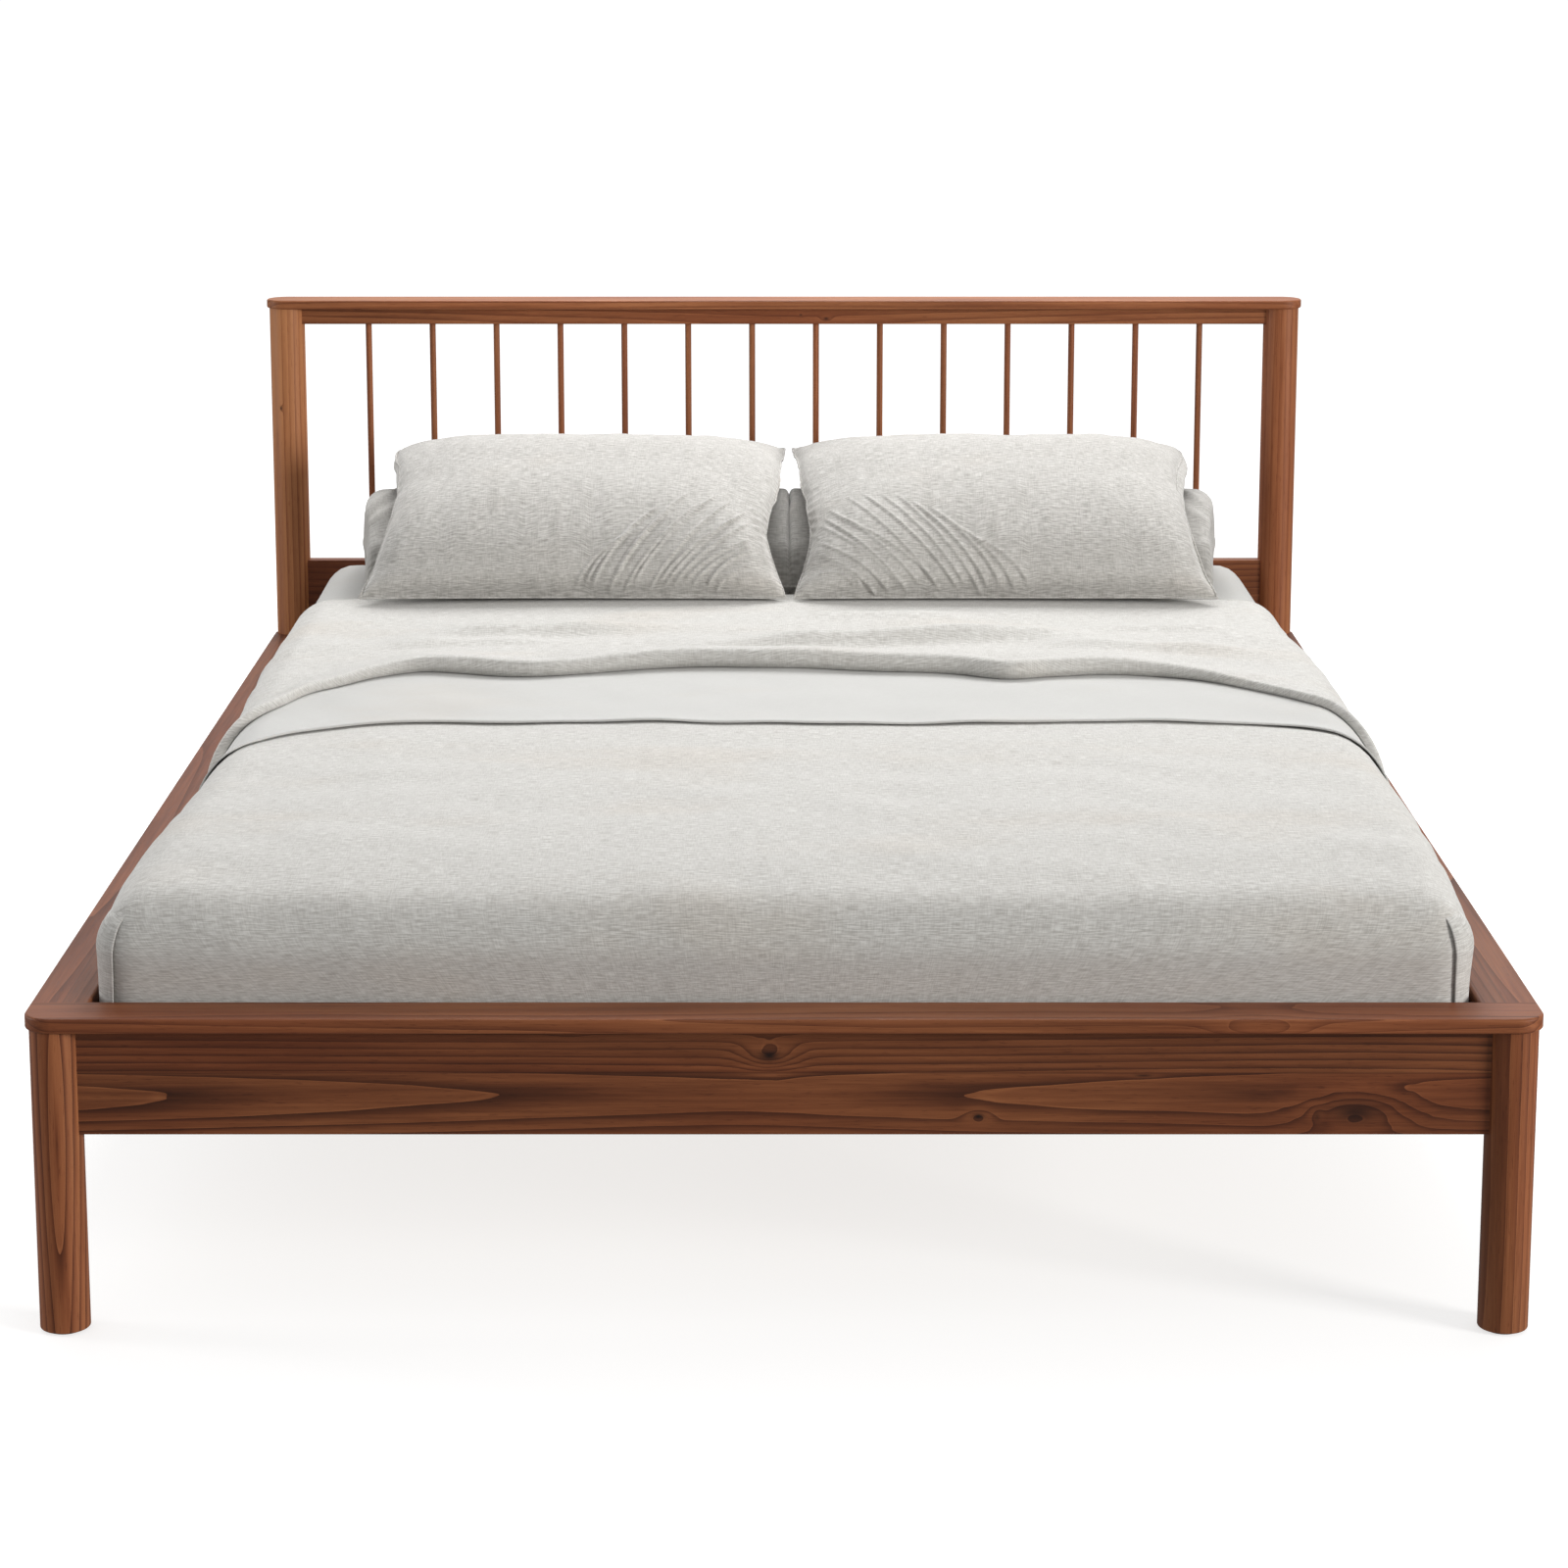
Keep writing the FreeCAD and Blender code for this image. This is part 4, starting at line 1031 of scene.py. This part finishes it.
    def fold(self, linen: bpy.types.Material) -> bpy.types.Object:
        """The cover's end folded back: an upper layer, a soft roll and a short layer under it.

        Along each section the cloth runs from the head edge towards the foot, turns through half a
        circle at the fold line and comes back underneath.
        """
        form = self.form
        half = form.run_at(self.fold_low)
        columns, upper, turned, under = 210, 90, 12, 12
        run = np.linspace(-half, half, columns)[:, None]
        line = np.array(self.fold_line)
        edge = through(line[:, 0], line[:, 1], run)
        wave = 1 + 0.12 * ripples(run, 0 * run, 0.3, 23)
        radius = self.roll * (1 - 0.55 * ease(np.abs(run), 0.36, 0.68)) * wave
        bottom = self.cuff_outer + 0.0018
        along = np.sin(np.linspace(0, math.pi / 2, upper))[None, :]
        y_up = self.head_edge + (edge + radius - self.head_edge) * along
        back = y_up - edge - radius
        plain = self.fold_outer - self.fold_thickness / 2
        rise = bottom + 2 * radius - plain
        hollow = bell(back, 0.0, 0.065)
        high = plain + rise * hollow
        swell = (3.4 * ripples(run * 0.6, y_up * 1.7, 0.20, 29)
                 + 1.5 * ripples(run * 0.7, y_up, 0.11, 31)) * MM
        for start, end, bow, tall, width in self.fold_creases:
            swell = swell + tall * MM * crease(run, y_up, start, end, bow, width, 2.6, 0.4)
        high = high + swell * (1 - ease(y_up, 0.42, 0.55)) * ease(back, 0.0, 0.05)
        high = np.maximum(high, bottom + 0.004)
        angle = np.linspace(0, math.pi, turned + 2)[1:-1][None, :]
        y_turn = edge + radius - radius * np.sin(angle) ** 0.6 * (1 - 0.6 * ease(angle, 1.2, 2.9))
        high_turn = bottom + radius * (1 + np.sign(np.cos(angle)) * np.abs(np.cos(angle)) ** 0.75)
        share = np.linspace(0, 1, under)[None, :]
        y_under = edge + radius + share * self.under_fold
        high_under = bottom + 0 * y_under
        y = np.concatenate([y_up, y_turn, y_under], axis=1)
        high = np.concatenate([high, high_turn, high_under], axis=1)
        runs = np.repeat(run, y.shape[1], axis=1)
        points = form.give(form.rumple(form.across(runs, y, high)))
        cloth_y = np.concatenate([np.zeros((columns, 1)), np.cumsum(np.linalg.norm(
            np.diff(points, axis=1), axis=-1), axis=1)], axis=1)
        piece = new_piece("cover_fold_cloth", points, grid_faces(*y.shape)[:, ::-1],
                          np.stack([runs, cloth_y], axis=-1))
        solidify(piece, self.fold_thickness, 0.0)
        piece.data.materials.append(linen)
        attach(piece, "mattress")
        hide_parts("cover_fold")
        return piece

    def build(self) -> None:
        """Makes every layer from the mattress upwards."""
        self.mattress()
        self.fitted_sheet()
        linen = self.linen()
        self.cover(linen)
        for side in (-1, 1):
            self.corner_tuck(side, linen)
        self.cuff()
        self.fold(linen)
        log.info("mattress and bedding built")


def merge_near(piece: bpy.types.Object, distance: float = 1e-5) -> None:
    """Merges a mesh's points that coincide, and turns all its faces outwards."""
    work = bmesh.new()
    work.from_mesh(piece.data)
    bmesh.ops.remove_doubles(work, verts=work.verts, dist=distance)
    bmesh.ops.recalc_face_normals(work, faces=work.faces)
    work.to_mesh(piece.data)
    work.free()
    piece.data.polygons.foreach_set("use_smooth", np.ones(len(piece.data.polygons), bool))


def points_round(form: MattressForm, depth: float, offset: float, step: float = 0.02) -> Array:
    """A closed path round the mattress at one depth: straight sides joined by quarter circles."""
    inset, height, outward, _ = form.profile(np.array(depth))
    half_x = form.half_width - inset + offset * outward
    half_y = form.half_length - inset + offset * outward
    radius = form.corner + offset
    quarter = np.linspace(0, math.pi / 2, 12, endpoint=False)
    path = []
    for sign_x, sign_y, first in ((1, 1, 0), (-1, 1, 1), (-1, -1, 2), (1, -1, 3)):
        turn = quarter + first * math.pi / 2
        centre = np.array([sign_x * (half_x - radius), sign_y * (half_y - radius)])
        path.append(centre + radius * np.stack([np.cos(turn), np.sin(turn)], axis=1))
    path = np.concatenate(path)
    path = np.column_stack([path[:, 0], path[:, 1] + form.middle_y, np.full(len(path), float(height))])
    closed = np.vstack([path, path[:1]])
    lengths = np.concatenate([[0], np.cumsum(np.linalg.norm(np.diff(closed, axis=0), axis=1))])
    at = np.linspace(0, lengths[-1], int(lengths[-1] / step), endpoint=False)
    return np.stack([np.interp(at, lengths, closed[:, axis]) for axis in range(3)], axis=1)


# ----------------------------------------------------------------------------------------- pillows
@dataclass
class FilledCase:
    half_width: float
    half_depth: float
    seed: int = 1
    columns: int = 64
    rows: int = 42
    pressure: float = 5.0
    frames: int = 24
    formula_height: float = 0.09

    def swell(self) -> tuple[Array, Array]:
        """The upper and the lower skin as grids of X, Y, Z that share their border."""
        a, b = np.meshgrid(np.linspace(-1, 1, self.columns + 1), np.linspace(-1, 1, self.rows + 1),
                           indexing="ij")
        x, y = a * self.half_width, b * self.half_depth
        inside = np.zeros(a.shape, bool)
        inside[1:-1, 1:-1] = True
        upper = np.arange(a.size).reshape(a.shape)
        lower = upper.copy()
        lower[inside] = a.size + np.arange(inside.sum())
        lift = inside * (0.004 + 0.002 * ripples(x, y, 0.10, self.seed))
        points = np.concatenate([np.stack([x, y, lift], -1).reshape(-1, 3),
                                 np.stack([x, y, -lift], -1)[inside]])
        quads = grid_faces(*a.shape)
        case = new_piece("case_blank", points, np.concatenate([quads, lower.ravel()[quads][:, ::-1]]))
        filling = case.modifiers.new("filling", "CLOTH")
        cloth = filling.settings
        cloth.quality, cloth.mass, cloth.air_damping = 5, 0.25, 2.0
        cloth.tension_stiffness, cloth.compression_stiffness = 22.0, 12.0
        cloth.shear_stiffness, cloth.bending_stiffness = 6.0, 0.12
        cloth.use_pressure, cloth.uniform_pressure_force = True, self.pressure
        cloth.effector_weights.gravity = 0.0
        filling.collision_settings.use_collision = False
        filling.point_cache.frame_start, filling.point_cache.frame_end = 1, self.frames
        for number in range(1, self.frames + 1):
            bpy.context.scene.frame_set(number)
        ended = np.zeros(points.size)
        done = case.evaluated_get(bpy.context.evaluated_depsgraph_get())
        done.data.vertices.foreach_get("co", ended)
        bpy.context.scene.frame_set(1)
        bpy.data.objects.remove(case)
        ended = ended.reshape(-1, 3)
        log.info("pillow case filled: %.0f mm thick", 1000 * np.ptp(ended[:, 2]))
        smooth = self.formula(a, b, 3.4, 0.026)
        return tuple(0.3 * settled(skin) + 0.7 * plain
                     for skin, plain in zip((ended[upper], ended[lower]), smooth))

    def formula(self, a: Array, b: Array, blunt: Array | float, draw: float) -> tuple[Array, Array]:
        """The skins as (1 - |a|^blunt)^0.5 (1 - |b|^2.4)^0.5 swells. Their sides are drawn in by
        1 - |b|^1.6, and by less and less of that over the back half.

        Args:
            a, b: places across and along the case, from -1 to 1.
            blunt: how square the swell ends across.
            draw: how far the sides are drawn in, in metres.

        Returns:
            The upper and the lower skin.
        """
        swell = self.formula_height * np.sqrt((1 - np.abs(a) ** blunt) * (1 - np.abs(b) ** 2.4))
        draw = draw * (1 - np.abs(b) ** 1.6) * (1 - 0.6 * ease(b, 0.1, 0.9))
        x, y = a * (self.half_width - draw), b * self.half_depth
        return np.stack([x, y, swell], -1), np.stack([x, y, -swell], -1)


def settled(grid: Array, passes: int = 3) -> Array:
    """A grid of points with its inner points eased half the way towards their neighbours' mean."""
    for _ in range(passes):
        mean = (grid[:-2, 1:-1] + grid[2:, 1:-1] + grid[1:-1, :-2] + grid[1:-1, 2:]) / 4
        grid[1:-1, 1:-1] = (grid[1:-1, 1:-1] + mean) / 2
    return grid


def crowded(count: int, centre: float, width: float, extra: float) -> Array:
    """Rising places from 0 to 1, closer together round a centre and at both ends."""
    share = np.linspace(0, 1, 2001)
    density = 1 + extra * bell(share, centre, width) + 2.0 * (bell(share, 0, 0.02) + bell(share, 1, 0.02))
    total = np.concatenate([[0], np.cumsum((density[1:] + density[:-1]) / 2)])
    return np.interp(np.linspace(0, 1, count + 1), total / total[-1], share)


def finer(grid: Array, columns: Array, rows: Array) -> Array:
    """A grid of points drawn finer by smooth curves, at places along its columns and its rows."""
    for places in (columns, rows):
        grid = through(np.linspace(0, 1, len(grid)), grid, places).swapaxes(0, 1)
    return grid


@dataclass
class Pillow:
    """A filled case laid over a curved section: its skins keep to a low and a high curve, which stand
    for what it rests on and for its crown, and share the room between them by the case's swell."""

    node: str
    outer: int
    skins: tuple[Array, Array]
    section: tuple[Array, Array, Array]
    inset: float = 0.0
    bulge: float = 0.0
    edge_draw: float = 1.0
    slim: float = 1.0
    inner: tuple = ((0, 0.0045), (1, 0.0045))
    drawn: tuple = ((0, 0.25), (0.08, 0.6), (0.25, 1.0), (0.5, 1.0), (0.8, 0.9), (0.93, 1.1), (1, 1.5))

    def surface(self, skin: Array) -> Array:
        """One skin over the section. With v the share of the way from front to back seam, a point is
        the middle of the two curves at v, plus its swell, as a share of the middle column's swell
        there, times half the way between them. The outer end is drawn in by the inset times its table,
        the inner end is let out by its own, and the lower skin bulges out past the outer end.

        Args:
            skin: the case's upper or lower skin.

        Returns:
            The skin's points in the frame.
        """
        stations, low_curve, high_curve = self.section
        low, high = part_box(self.node)
        y = skin[..., 1]
        front, back = y[:, :1], y[:, -1:]
        v = (y - front) / (back - front)
        count = len(skin)
        middle = np.median(np.abs(skin[count // 5:-count // 5, :, 2]), axis=0)
        side = np.sign(skin[count // 2, skin.shape[1] // 2, 2])
        share = side * np.clip(np.abs(skin[..., 2]) / (middle + 0.0005), 0, 1.1)
        low_point, high_point = through(stations, low_curve, v), through(stations, high_curve, v)
        place = (low_point + high_point) / 2 + (high_point - low_point) / 2 * share[..., None]
        scale = (high.y - low.y) / (y.max() - y.min())
        slack = (front - y.min()) * (1 - v) - (y.max() - back) * v
        width = high.x - low.x
        straight = (skin[:, :1, 0] + skin[:, -1:, 0]) / 2
        x = (self.slim * skin[..., 0] + (1 - self.slim) * straight) * width / np.ptp(skin[..., 0])
        a = self.outer * x / (width / 2)
        drawn, inner = (through(*np.array(table, float).T, v) for table in (self.drawn, self.inner))
        x = x - self.outer * (self.inset * drawn * ease(a, 0.2, 1.0) + inner * ease(-a, 0.2, 1.0))
        if side < 0:
            out = 4 * np.abs(share) * (1 - np.clip(np.abs(share), 0, 1)) * ease(a, 0.6, 0.9)
            x = x + self.outer * self.bulge * out * bell(v, 0.62, 0.30)
        return np.stack([(low.x + high.x) / 2 + x, place[..., 0] + slack * scale * self.edge_draw,
                         place[..., 1]], -1)

    def build(self, cloth: Array, creases: Callable[[Array], Array], material: bpy.types.Material,
              fill: float) -> bpy.types.Object:
        """Builds the pillow as a closed mesh of two skins, with a corded seam round it.

        Args:
            cloth: each point's place on the flat case.
            creases: gives the heights to add to the upper skin at its points.
            material: its linen.
            fill: how tightly it is filled; not used.

        Returns:
            The pillow.
        """
        upper, lower = (self.surface(skin) for skin in self.skins)
        border = np.ones(upper.shape[:2], bool)
        border[1:-1, 1:-1] = False
        upper[border] = lower[border] = ((upper + lower) / 2)[border]
        upper = upper + grid_normals(upper) * (creases(upper) * ~border)[..., None]
        faces = grid_faces(*upper.shape[:2])
        points = np.concatenate([upper.reshape(-1, 3), lower.reshape(-1, 3)])
        faces = np.concatenate([faces, faces[:, ::-1] + border.size])
        piece = new_piece(f"{self.node}_case", points, faces, np.concatenate([cloth, cloth]))
        merge_near(piece, 1e-6)
        loop = np.concatenate([upper[:-1, 0], upper[-1, :-1], upper[:0:-1, -1], upper[0, :0:-1]])
        cord_points, cord_faces = tube(loop, 0.0016, 6)
        cord = new_piece(f"{self.node}_seam", cord_points, cord_faces, cord_points[:, :2])
        for part in (piece, cord):
            part.data.materials.append(material)
            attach(part, self.node)
        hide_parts(self.node)
        return piece


@dataclass
class Pillows:
    """Two pillows lying against the headboard, and two leaning back over them."""

    front_grid: tuple[int, int] = (330, 146)
    rear_grid: tuple[int, int] = (150, 100)
    seam_height: float = 0.046
    rear_seam: float = 0.020
    crown: float = 0.116
    # how far the front pillows' inner ends are let out, from front to back, in metres
    front_inner: tuple = ((0, -0.004), (0.1, -0.011), (0.2, -0.016), (0.3, -0.009), (0.4, 0.004),
                          (0.5, 0.012), (0.7, 0.008), (0.85, 0.002), (1, -0.004))
    cap_room: float = 0.014
    # how far the rear pillows' outer ends are drawn in, from front to back
    rear_drawn: tuple = ((0, 1.0), (0.15, 0.8), (0.35, 0.35), (0.6, 0.2), (1, 0.4))

    def rear_section(self, node: str) -> tuple[Array, Array, Array]:
        """The rear pillow's section: flat below with round edges, one arc above. Its back seam stays
        clear of the headboard's cap when the mattress is lifted with the pillows on it.

        Returns:
            Stations from front to back, and at each the low and the high point (Y, Z).
        """
        low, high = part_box(node)
        v = np.array([0, 0.03, 0.1, 0.3, 0.5, 0.7, 0.9, 0.97, 1.0])
        y = low.y + v * (high.y - self.cap_room - low.y)
        seam_z = low.z + self.rear_seam
        swell = np.sqrt(1 - np.abs(2 * v - 1) ** 2.2)
        low_z = seam_z - self.rear_seam * np.minimum(1, swell * 2.4)
        return v, np.stack([y, low_z], 1), np.stack([y, seam_z + (high.z - seam_z) * swell], 1)

    def front_section(self, node: str, rear: str) -> tuple[Array, Array, Array]:
        """The front pillow's section: it rests on the bedding, then climbs over the rear pillow, and
        its crown is an arc above the line from its front seam to its back seam.

        Returns:
            Stations from front to back, and at each the low and the high point (Y, Z).
        """
        (low, high), (rear_low, rear_high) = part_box(node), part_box(rear)
        front, back, rest = low.y, high.y, low.z
        back_z = rest + 0.178
        chord = math.hypot(back - front, back_z - rest)
        radius = ((chord / 2) ** 2 + self.crown**2) / (2 * self.crown)
        along_y, along_z = (back - front) / chord, (back_z - rest) / chord
        centre_y = (front + back) / 2 + along_z * (radius - self.crown)
        centre_z = (rest + back_z) / 2 - along_y * (radius - self.crown)
        rise = rear_high.z - rear_low.z - self.seam_height
        rear_half = (rear_high.y - rear_low.y) / 2
        rear_radius = (rear_half**2 + rise**2) / (2 * rise)

        def on_crown(y: float) -> float:
            """The height of the crown's arc."""
            return centre_z + math.sqrt(max(radius**2 - (y - centre_y) ** 2, 0))

        def over_rear(y: float) -> float:
            """The height of the arc that clears the rear pillow's crown."""
            reach = math.sqrt(rear_radius**2 - (y - rear_low.y - rear_half) ** 2)
            return rear_high.z - rear_radius + reach + 0.004

        over = [front + share * (back - front) for share in (0.4, 0.55, 0.7)]
        last = (over[2] + back) / 2
        pairs = [((front, rest + 0.004), (front, rest + 0.009)),
                 ((front + 0.028, rest), (front - 0.019, rest + 0.036)),
                 ((rear_low.y - 0.016, rest + 0.008), (front - 0.019, rest + 0.070)),
                 ((rear_low.y - 0.010, rest + 0.025), (front - 0.003, rest + 0.106)),
                 ((rear_low.y - 0.004, rear_low.z + 0.056), (front + 0.045, rest + 0.153))]
        pairs += [((y, over_rear(y)), (y, on_crown(y))) for y in over]
        pairs += [((last, (over_rear(over[2]) + back_z - 0.005) / 2 - 0.004), (last, on_crown(last))),
                  ((back, back_z - 0.005), (back, back_z))]
        low_points, high_points = (np.array([pair[index] for pair in pairs]) for index in (0, 1))
        middle = (low_points + high_points) / 2
        stations = np.concatenate([[0], np.cumsum(np.linalg.norm(np.diff(middle, axis=0), axis=1))])
        return stations / stations[-1], low_points, high_points

    def fan(self, x: Array, up: Array, seed: int, spread: float) -> Array:
        """The fan of sharp creases on a front pillow's face: each is an arc that starts near its lower
        edge and sweeps up and over towards the bed's middle.

        Args:
            x: metres from the bed's middle line.
            up: metres above the lower seam, as the face is seen.
            seed: which draw.
            spread: how far the fan opens outwards, against 1 for a third of a metre.

        Returns:
            The height of the creases.
        """
        draw = np.random.default_rng(seed)
        height = np.zeros(np.broadcast(x, up).shape)
        for share in np.linspace(0, 1, 16):
            start = (spread * (0.315 - 0.225 * share) + draw.uniform(-0.006, 0.006),
                     0.018 + draw.uniform(-0.012, 0.014))
            reach = through([0, 0.3, 1], [0.120, 0.172, 0.062], share) + draw.uniform(-0.02, 0.008)
            inner = through([0, 0.3, 0.55, 1], [0.235, 0.130, 0.060, 0.042], share)
            end = (spread * float(inner), float(reach))
            tall = (2.1 + 1.3 * draw.uniform()) * MM
            bow = (0.013 - 0.003 * share) * -1
            height += tall * crease(x, up, start, end, bow, 0.0024, fade=0.12)
            beside = (start[0] - 0.0052, start[1]), (end[0] - 0.0052, end[1])
            height -= 0.4 * tall * crease(x, up, *beside, bow, 0.0046, fade=0.2)
        for share in np.linspace(0, 1, 8):
            start = (0.016, 0.085 + 0.06 * share)
            end = (0.060 + 0.02 * share, 0.100 + 0.115 * share)
            height += 1.2 * MM * crease(x, up, start, end, 0.008, 0.0030, fade=0.4)
        return height

    def soft_folds(self, x: Array, up: Array, seed: int) -> Array:
        """Broad shallow folds and hollows of a loose case."""
        height = 1.5 * ripples(x, up, 0.16, seed) + 0.8 * ripples(x, up, 0.06, seed + 1)
        return height * MM

    def build(self) -> None:
        """Makes the four pillows."""
        linen = Linen("pillow_linen", (210, 208, 204), (154, 151, 146), heather=0.8, slub=700.0).build()
        # painted shade: the rear pillows get a darker copy of the pillow linen, for the shade that the front
        # pillows throw on them
        rear_linen_painted_shade = Linen("pillow_linen_rear_painted_shade", (194, 192, 188), (146, 143, 138), heather=0.8, slub=700.0).build()
        for side, outer in (("left", -1), ("right", 1)):
            rear, front = f"pillow_rear_{side}", f"pillow_front_{side}"
            a, b = np.meshgrid(np.sin(np.linspace(-1, 1, self.rear_grid[0]) * math.pi / 2),
                               np.sin(np.linspace(-1, 1, self.rear_grid[1]) * math.pi / 2),
                               indexing="ij")
            case = FilledCase(0.336, 0.19)
            skins = case.formula(a, b, np.where(outer * a > 0, 48.0, 150.0), 0.001)
            x, y = skins[0][..., 0], skins[0][..., 1]
            out = outer * x
            folds = self.soft_folds(x, y, 51 + outer)
            for start, end in (((0.335, -0.13), (0.21, 0.02)), ((0.335, -0.16), (0.23, -0.175)),
                               ((0.336, -0.10), (0.26, 0.09))):
                folds = folds + 5.0 * MM * crease(out, y, start, end, 0.012, 0.011, fade=0.15)
            folds = (folds + 2.5 * MM * bell(out, 0.328, 0.004)) * (1 - b**8)
            Pillow(rear, outer, skins, self.rear_section(rear), inset=0.026, drawn=self.rear_drawn).build(
                np.stack([x, y], -1), lambda points, folds=folds: folds, rear_linen_painted_shade, 0.8)
            inner = 0.5 - outer * 0.24
            columns = crowded(self.front_grid[0], inner, 0.20, 2.2)
            rows = crowded(self.front_grid[1], 0.2, 0.17, 2.2)
            case = FilledCase(0.328, 0.225, seed=70 + outer)
            skins = tuple(finer(skin, columns, rows) for skin in case.swell())
            flat = np.stack(np.meshgrid((2 * columns - 1) * case.half_width,
                                        (2 * rows - 1) * case.half_depth, indexing="ij"), -1)
            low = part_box(front)[0]

            def creases(points: Array) -> Array:
                """The fan near the lower edge and the soft folds all over."""
                up = points[..., 2] - low.z + 0.19 * (points[..., 1] - low.y)
                x = np.abs(points[..., 0])
                near = 1 - ease(points[..., 1], low.y + 0.10, low.y + 0.22)
                return (self.fan(x, up, 40 + outer, 1.0 if outer < 0 else 1.16) * near * (1.12 - 0.16 * outer)
                        + self.soft_folds(*np.moveaxis(flat, -1, 0), 61 + outer))

            Pillow(front, outer, skins, self.front_section(front, rear), inset=0.030,
                   bulge=0.030 if outer > 0 else 0.020, edge_draw=0.25, slim=0.7,
                   inner=self.front_inner).build(flat, creases, linen, 0.75)
        log.info("pillows built")


# ------------------------------------------------------------------------------------------ studio
@dataclass
class Studio:
    """A white floor and background, soft lights from above, the right and the left, and the camera."""

    camera_place: tuple[float, float, float] = (0.0, -5.0525, 1.6067)
    camera_pitch: float = 10.94
    camera_lens: float = 87.11
    camera_shift: float = -0.12
    sky_least: float = 0.31
    sky_overhead: float = 0.22
    sky_behind: float = 0.52

    def camera(self) -> None:
        """The camera on the bed's middle line, looking a little down."""
        data = bpy.data.cameras.new("camera")
        data.lens = self.camera_lens
        data.shift_y = self.camera_shift
        camera = bpy.data.objects.new("camera", data)
        camera.location = self.camera_place
        camera.rotation_euler = Euler((math.radians(90 - self.camera_pitch), 0, 0))
        bpy.context.scene.collection.objects.link(camera)
        bpy.context.scene.camera = camera

    def lamp(self, name: str, place: tuple, target: tuple, size: float, watts: float,
             colour: tuple = (1, 1, 1)) -> None:
        """A square soft light at a place, turned to a target."""
        data = bpy.data.lights.new(name, "AREA")
        data.size = size
        data.energy = watts
        data.color = colour
        lamp = bpy.data.objects.new(name, data)
        lamp.location = place
        lamp.rotation_euler = (Vector(target) - Vector(place)).to_track_quat("-Z", "Y").to_euler()
        bpy.context.scene.collection.objects.link(lamp)

    def floor(self) -> None:
        """A large pale floor, glowing so that it fades into the background; the glow is weaker near the bed,
        a painted shadow round and under it.
        """
        half = 14.0
        corners = np.array([[-half, -half, 0], [half, -half, 0], [half, half, 0], [-half, half, 0]])
        floor = new_piece("studio_floor", corners, np.array([[0, 1, 2, 3]]))
        g = Graph.of_material("studio_white")
        x, y, _ = g.split(g.nodes.new("ShaderNodeTexCoord").outputs["Object"])
        reach = g.calc("SQRT", g.calc("ADD", g.calc("POWER", x, 2.0),
                                      g.calc("POWER", g.calc("ADD", y, 0.6), 2.0)))
        g.surface.inputs["Base Color"].default_value = (0.5, 0.5, 0.5, 1)
        g.surface.inputs["Roughness"].default_value = 0.9
        g.surface.inputs["Specular IOR Level"].default_value = 0.0
        g.surface.inputs["Emission Color"].default_value = (1, 1, 1, 1)
        # painted shadow: the glow is 0.70 within 1 m of a point under the bed's foot half, rising to 0.84 by
        # 2.4 m
        g.plug(g.span(reach, 1.0, 2.4, (0.70, 0.84)), g.surface.inputs["Emission Strength"])
        floor.data.materials.append(g.material)
        floor.visible_diffuse = floor.visible_glossy = False

    def world(self) -> None:
        """A white background for the camera, and a softer sky, darker low down, as the fill light."""
        world = bpy.data.worlds.new("studio")
        bpy.context.scene.world = world
        world.use_nodes = True
        g = Graph(world.node_tree)
        sky, white = g.nodes["Background"], g.nodes.new("ShaderNodeBackground")
        mix = g.nodes.new("ShaderNodeMixShader")
        _, y, z = g.split(g.nodes.new("ShaderNodeTexCoord").outputs["Generated"])
        overhead = g.span(z, 0.05, 0.95, (0.0, self.sky_overhead))
        behind = g.calc("MULTIPLY", g.span(y, 0.0, 0.9, (0.0, self.sky_behind)), g.span(z, -0.03, 0.12))
        g.plug(g.total(overhead, behind, self.sky_least), sky.inputs["Strength"])
        sky.inputs["Color"].default_value = (1.0, 1.0, 1.0, 1)
        white.inputs["Color"].default_value = (1, 1, 1, 1)
        white.inputs["Strength"].default_value = 1.05
        g.plug(g.nodes.new("ShaderNodeLightPath").outputs["Is Camera Ray"], mix.inputs[0])
        g.plug(sky.outputs[0], mix.inputs[1])
        g.plug(white.outputs[0], mix.inputs[2])
        g.plug(mix.outputs[0], g.nodes["World Output"].inputs["Surface"])

    def build(self) -> None:
        """Sets up the whole studio."""
        scene = bpy.context.scene
        scene.view_settings.view_transform = "Standard"
        self.camera()
        self.floor()
        self.world()
        self.lamp("overhead", (0.2, 1.9, 3.2), (0.0, 0.1, 0.4), 1.8, 92)
        self.lamp("right_key", (7.6, -5.0, 2.4), (0.0, -0.2, 0.45), 2.4, 585, (1.0, 0.985, 0.965))
        self.lamp("left_fill", (-5.8, 0.0, 1.25), (-0.7, -0.4, 0.45), 1.5, 90)
        log.info("studio ready")


def main() -> None:
    """Dresses the frame, then makes the bedding, the pillows and the studio."""
    TimberFrame().dress()
    SlattedBase().dress()
    Bedding(MattressForm()).build()
    Pillows().build()
    Studio().build()


if __name__ == "__main__":
    main()
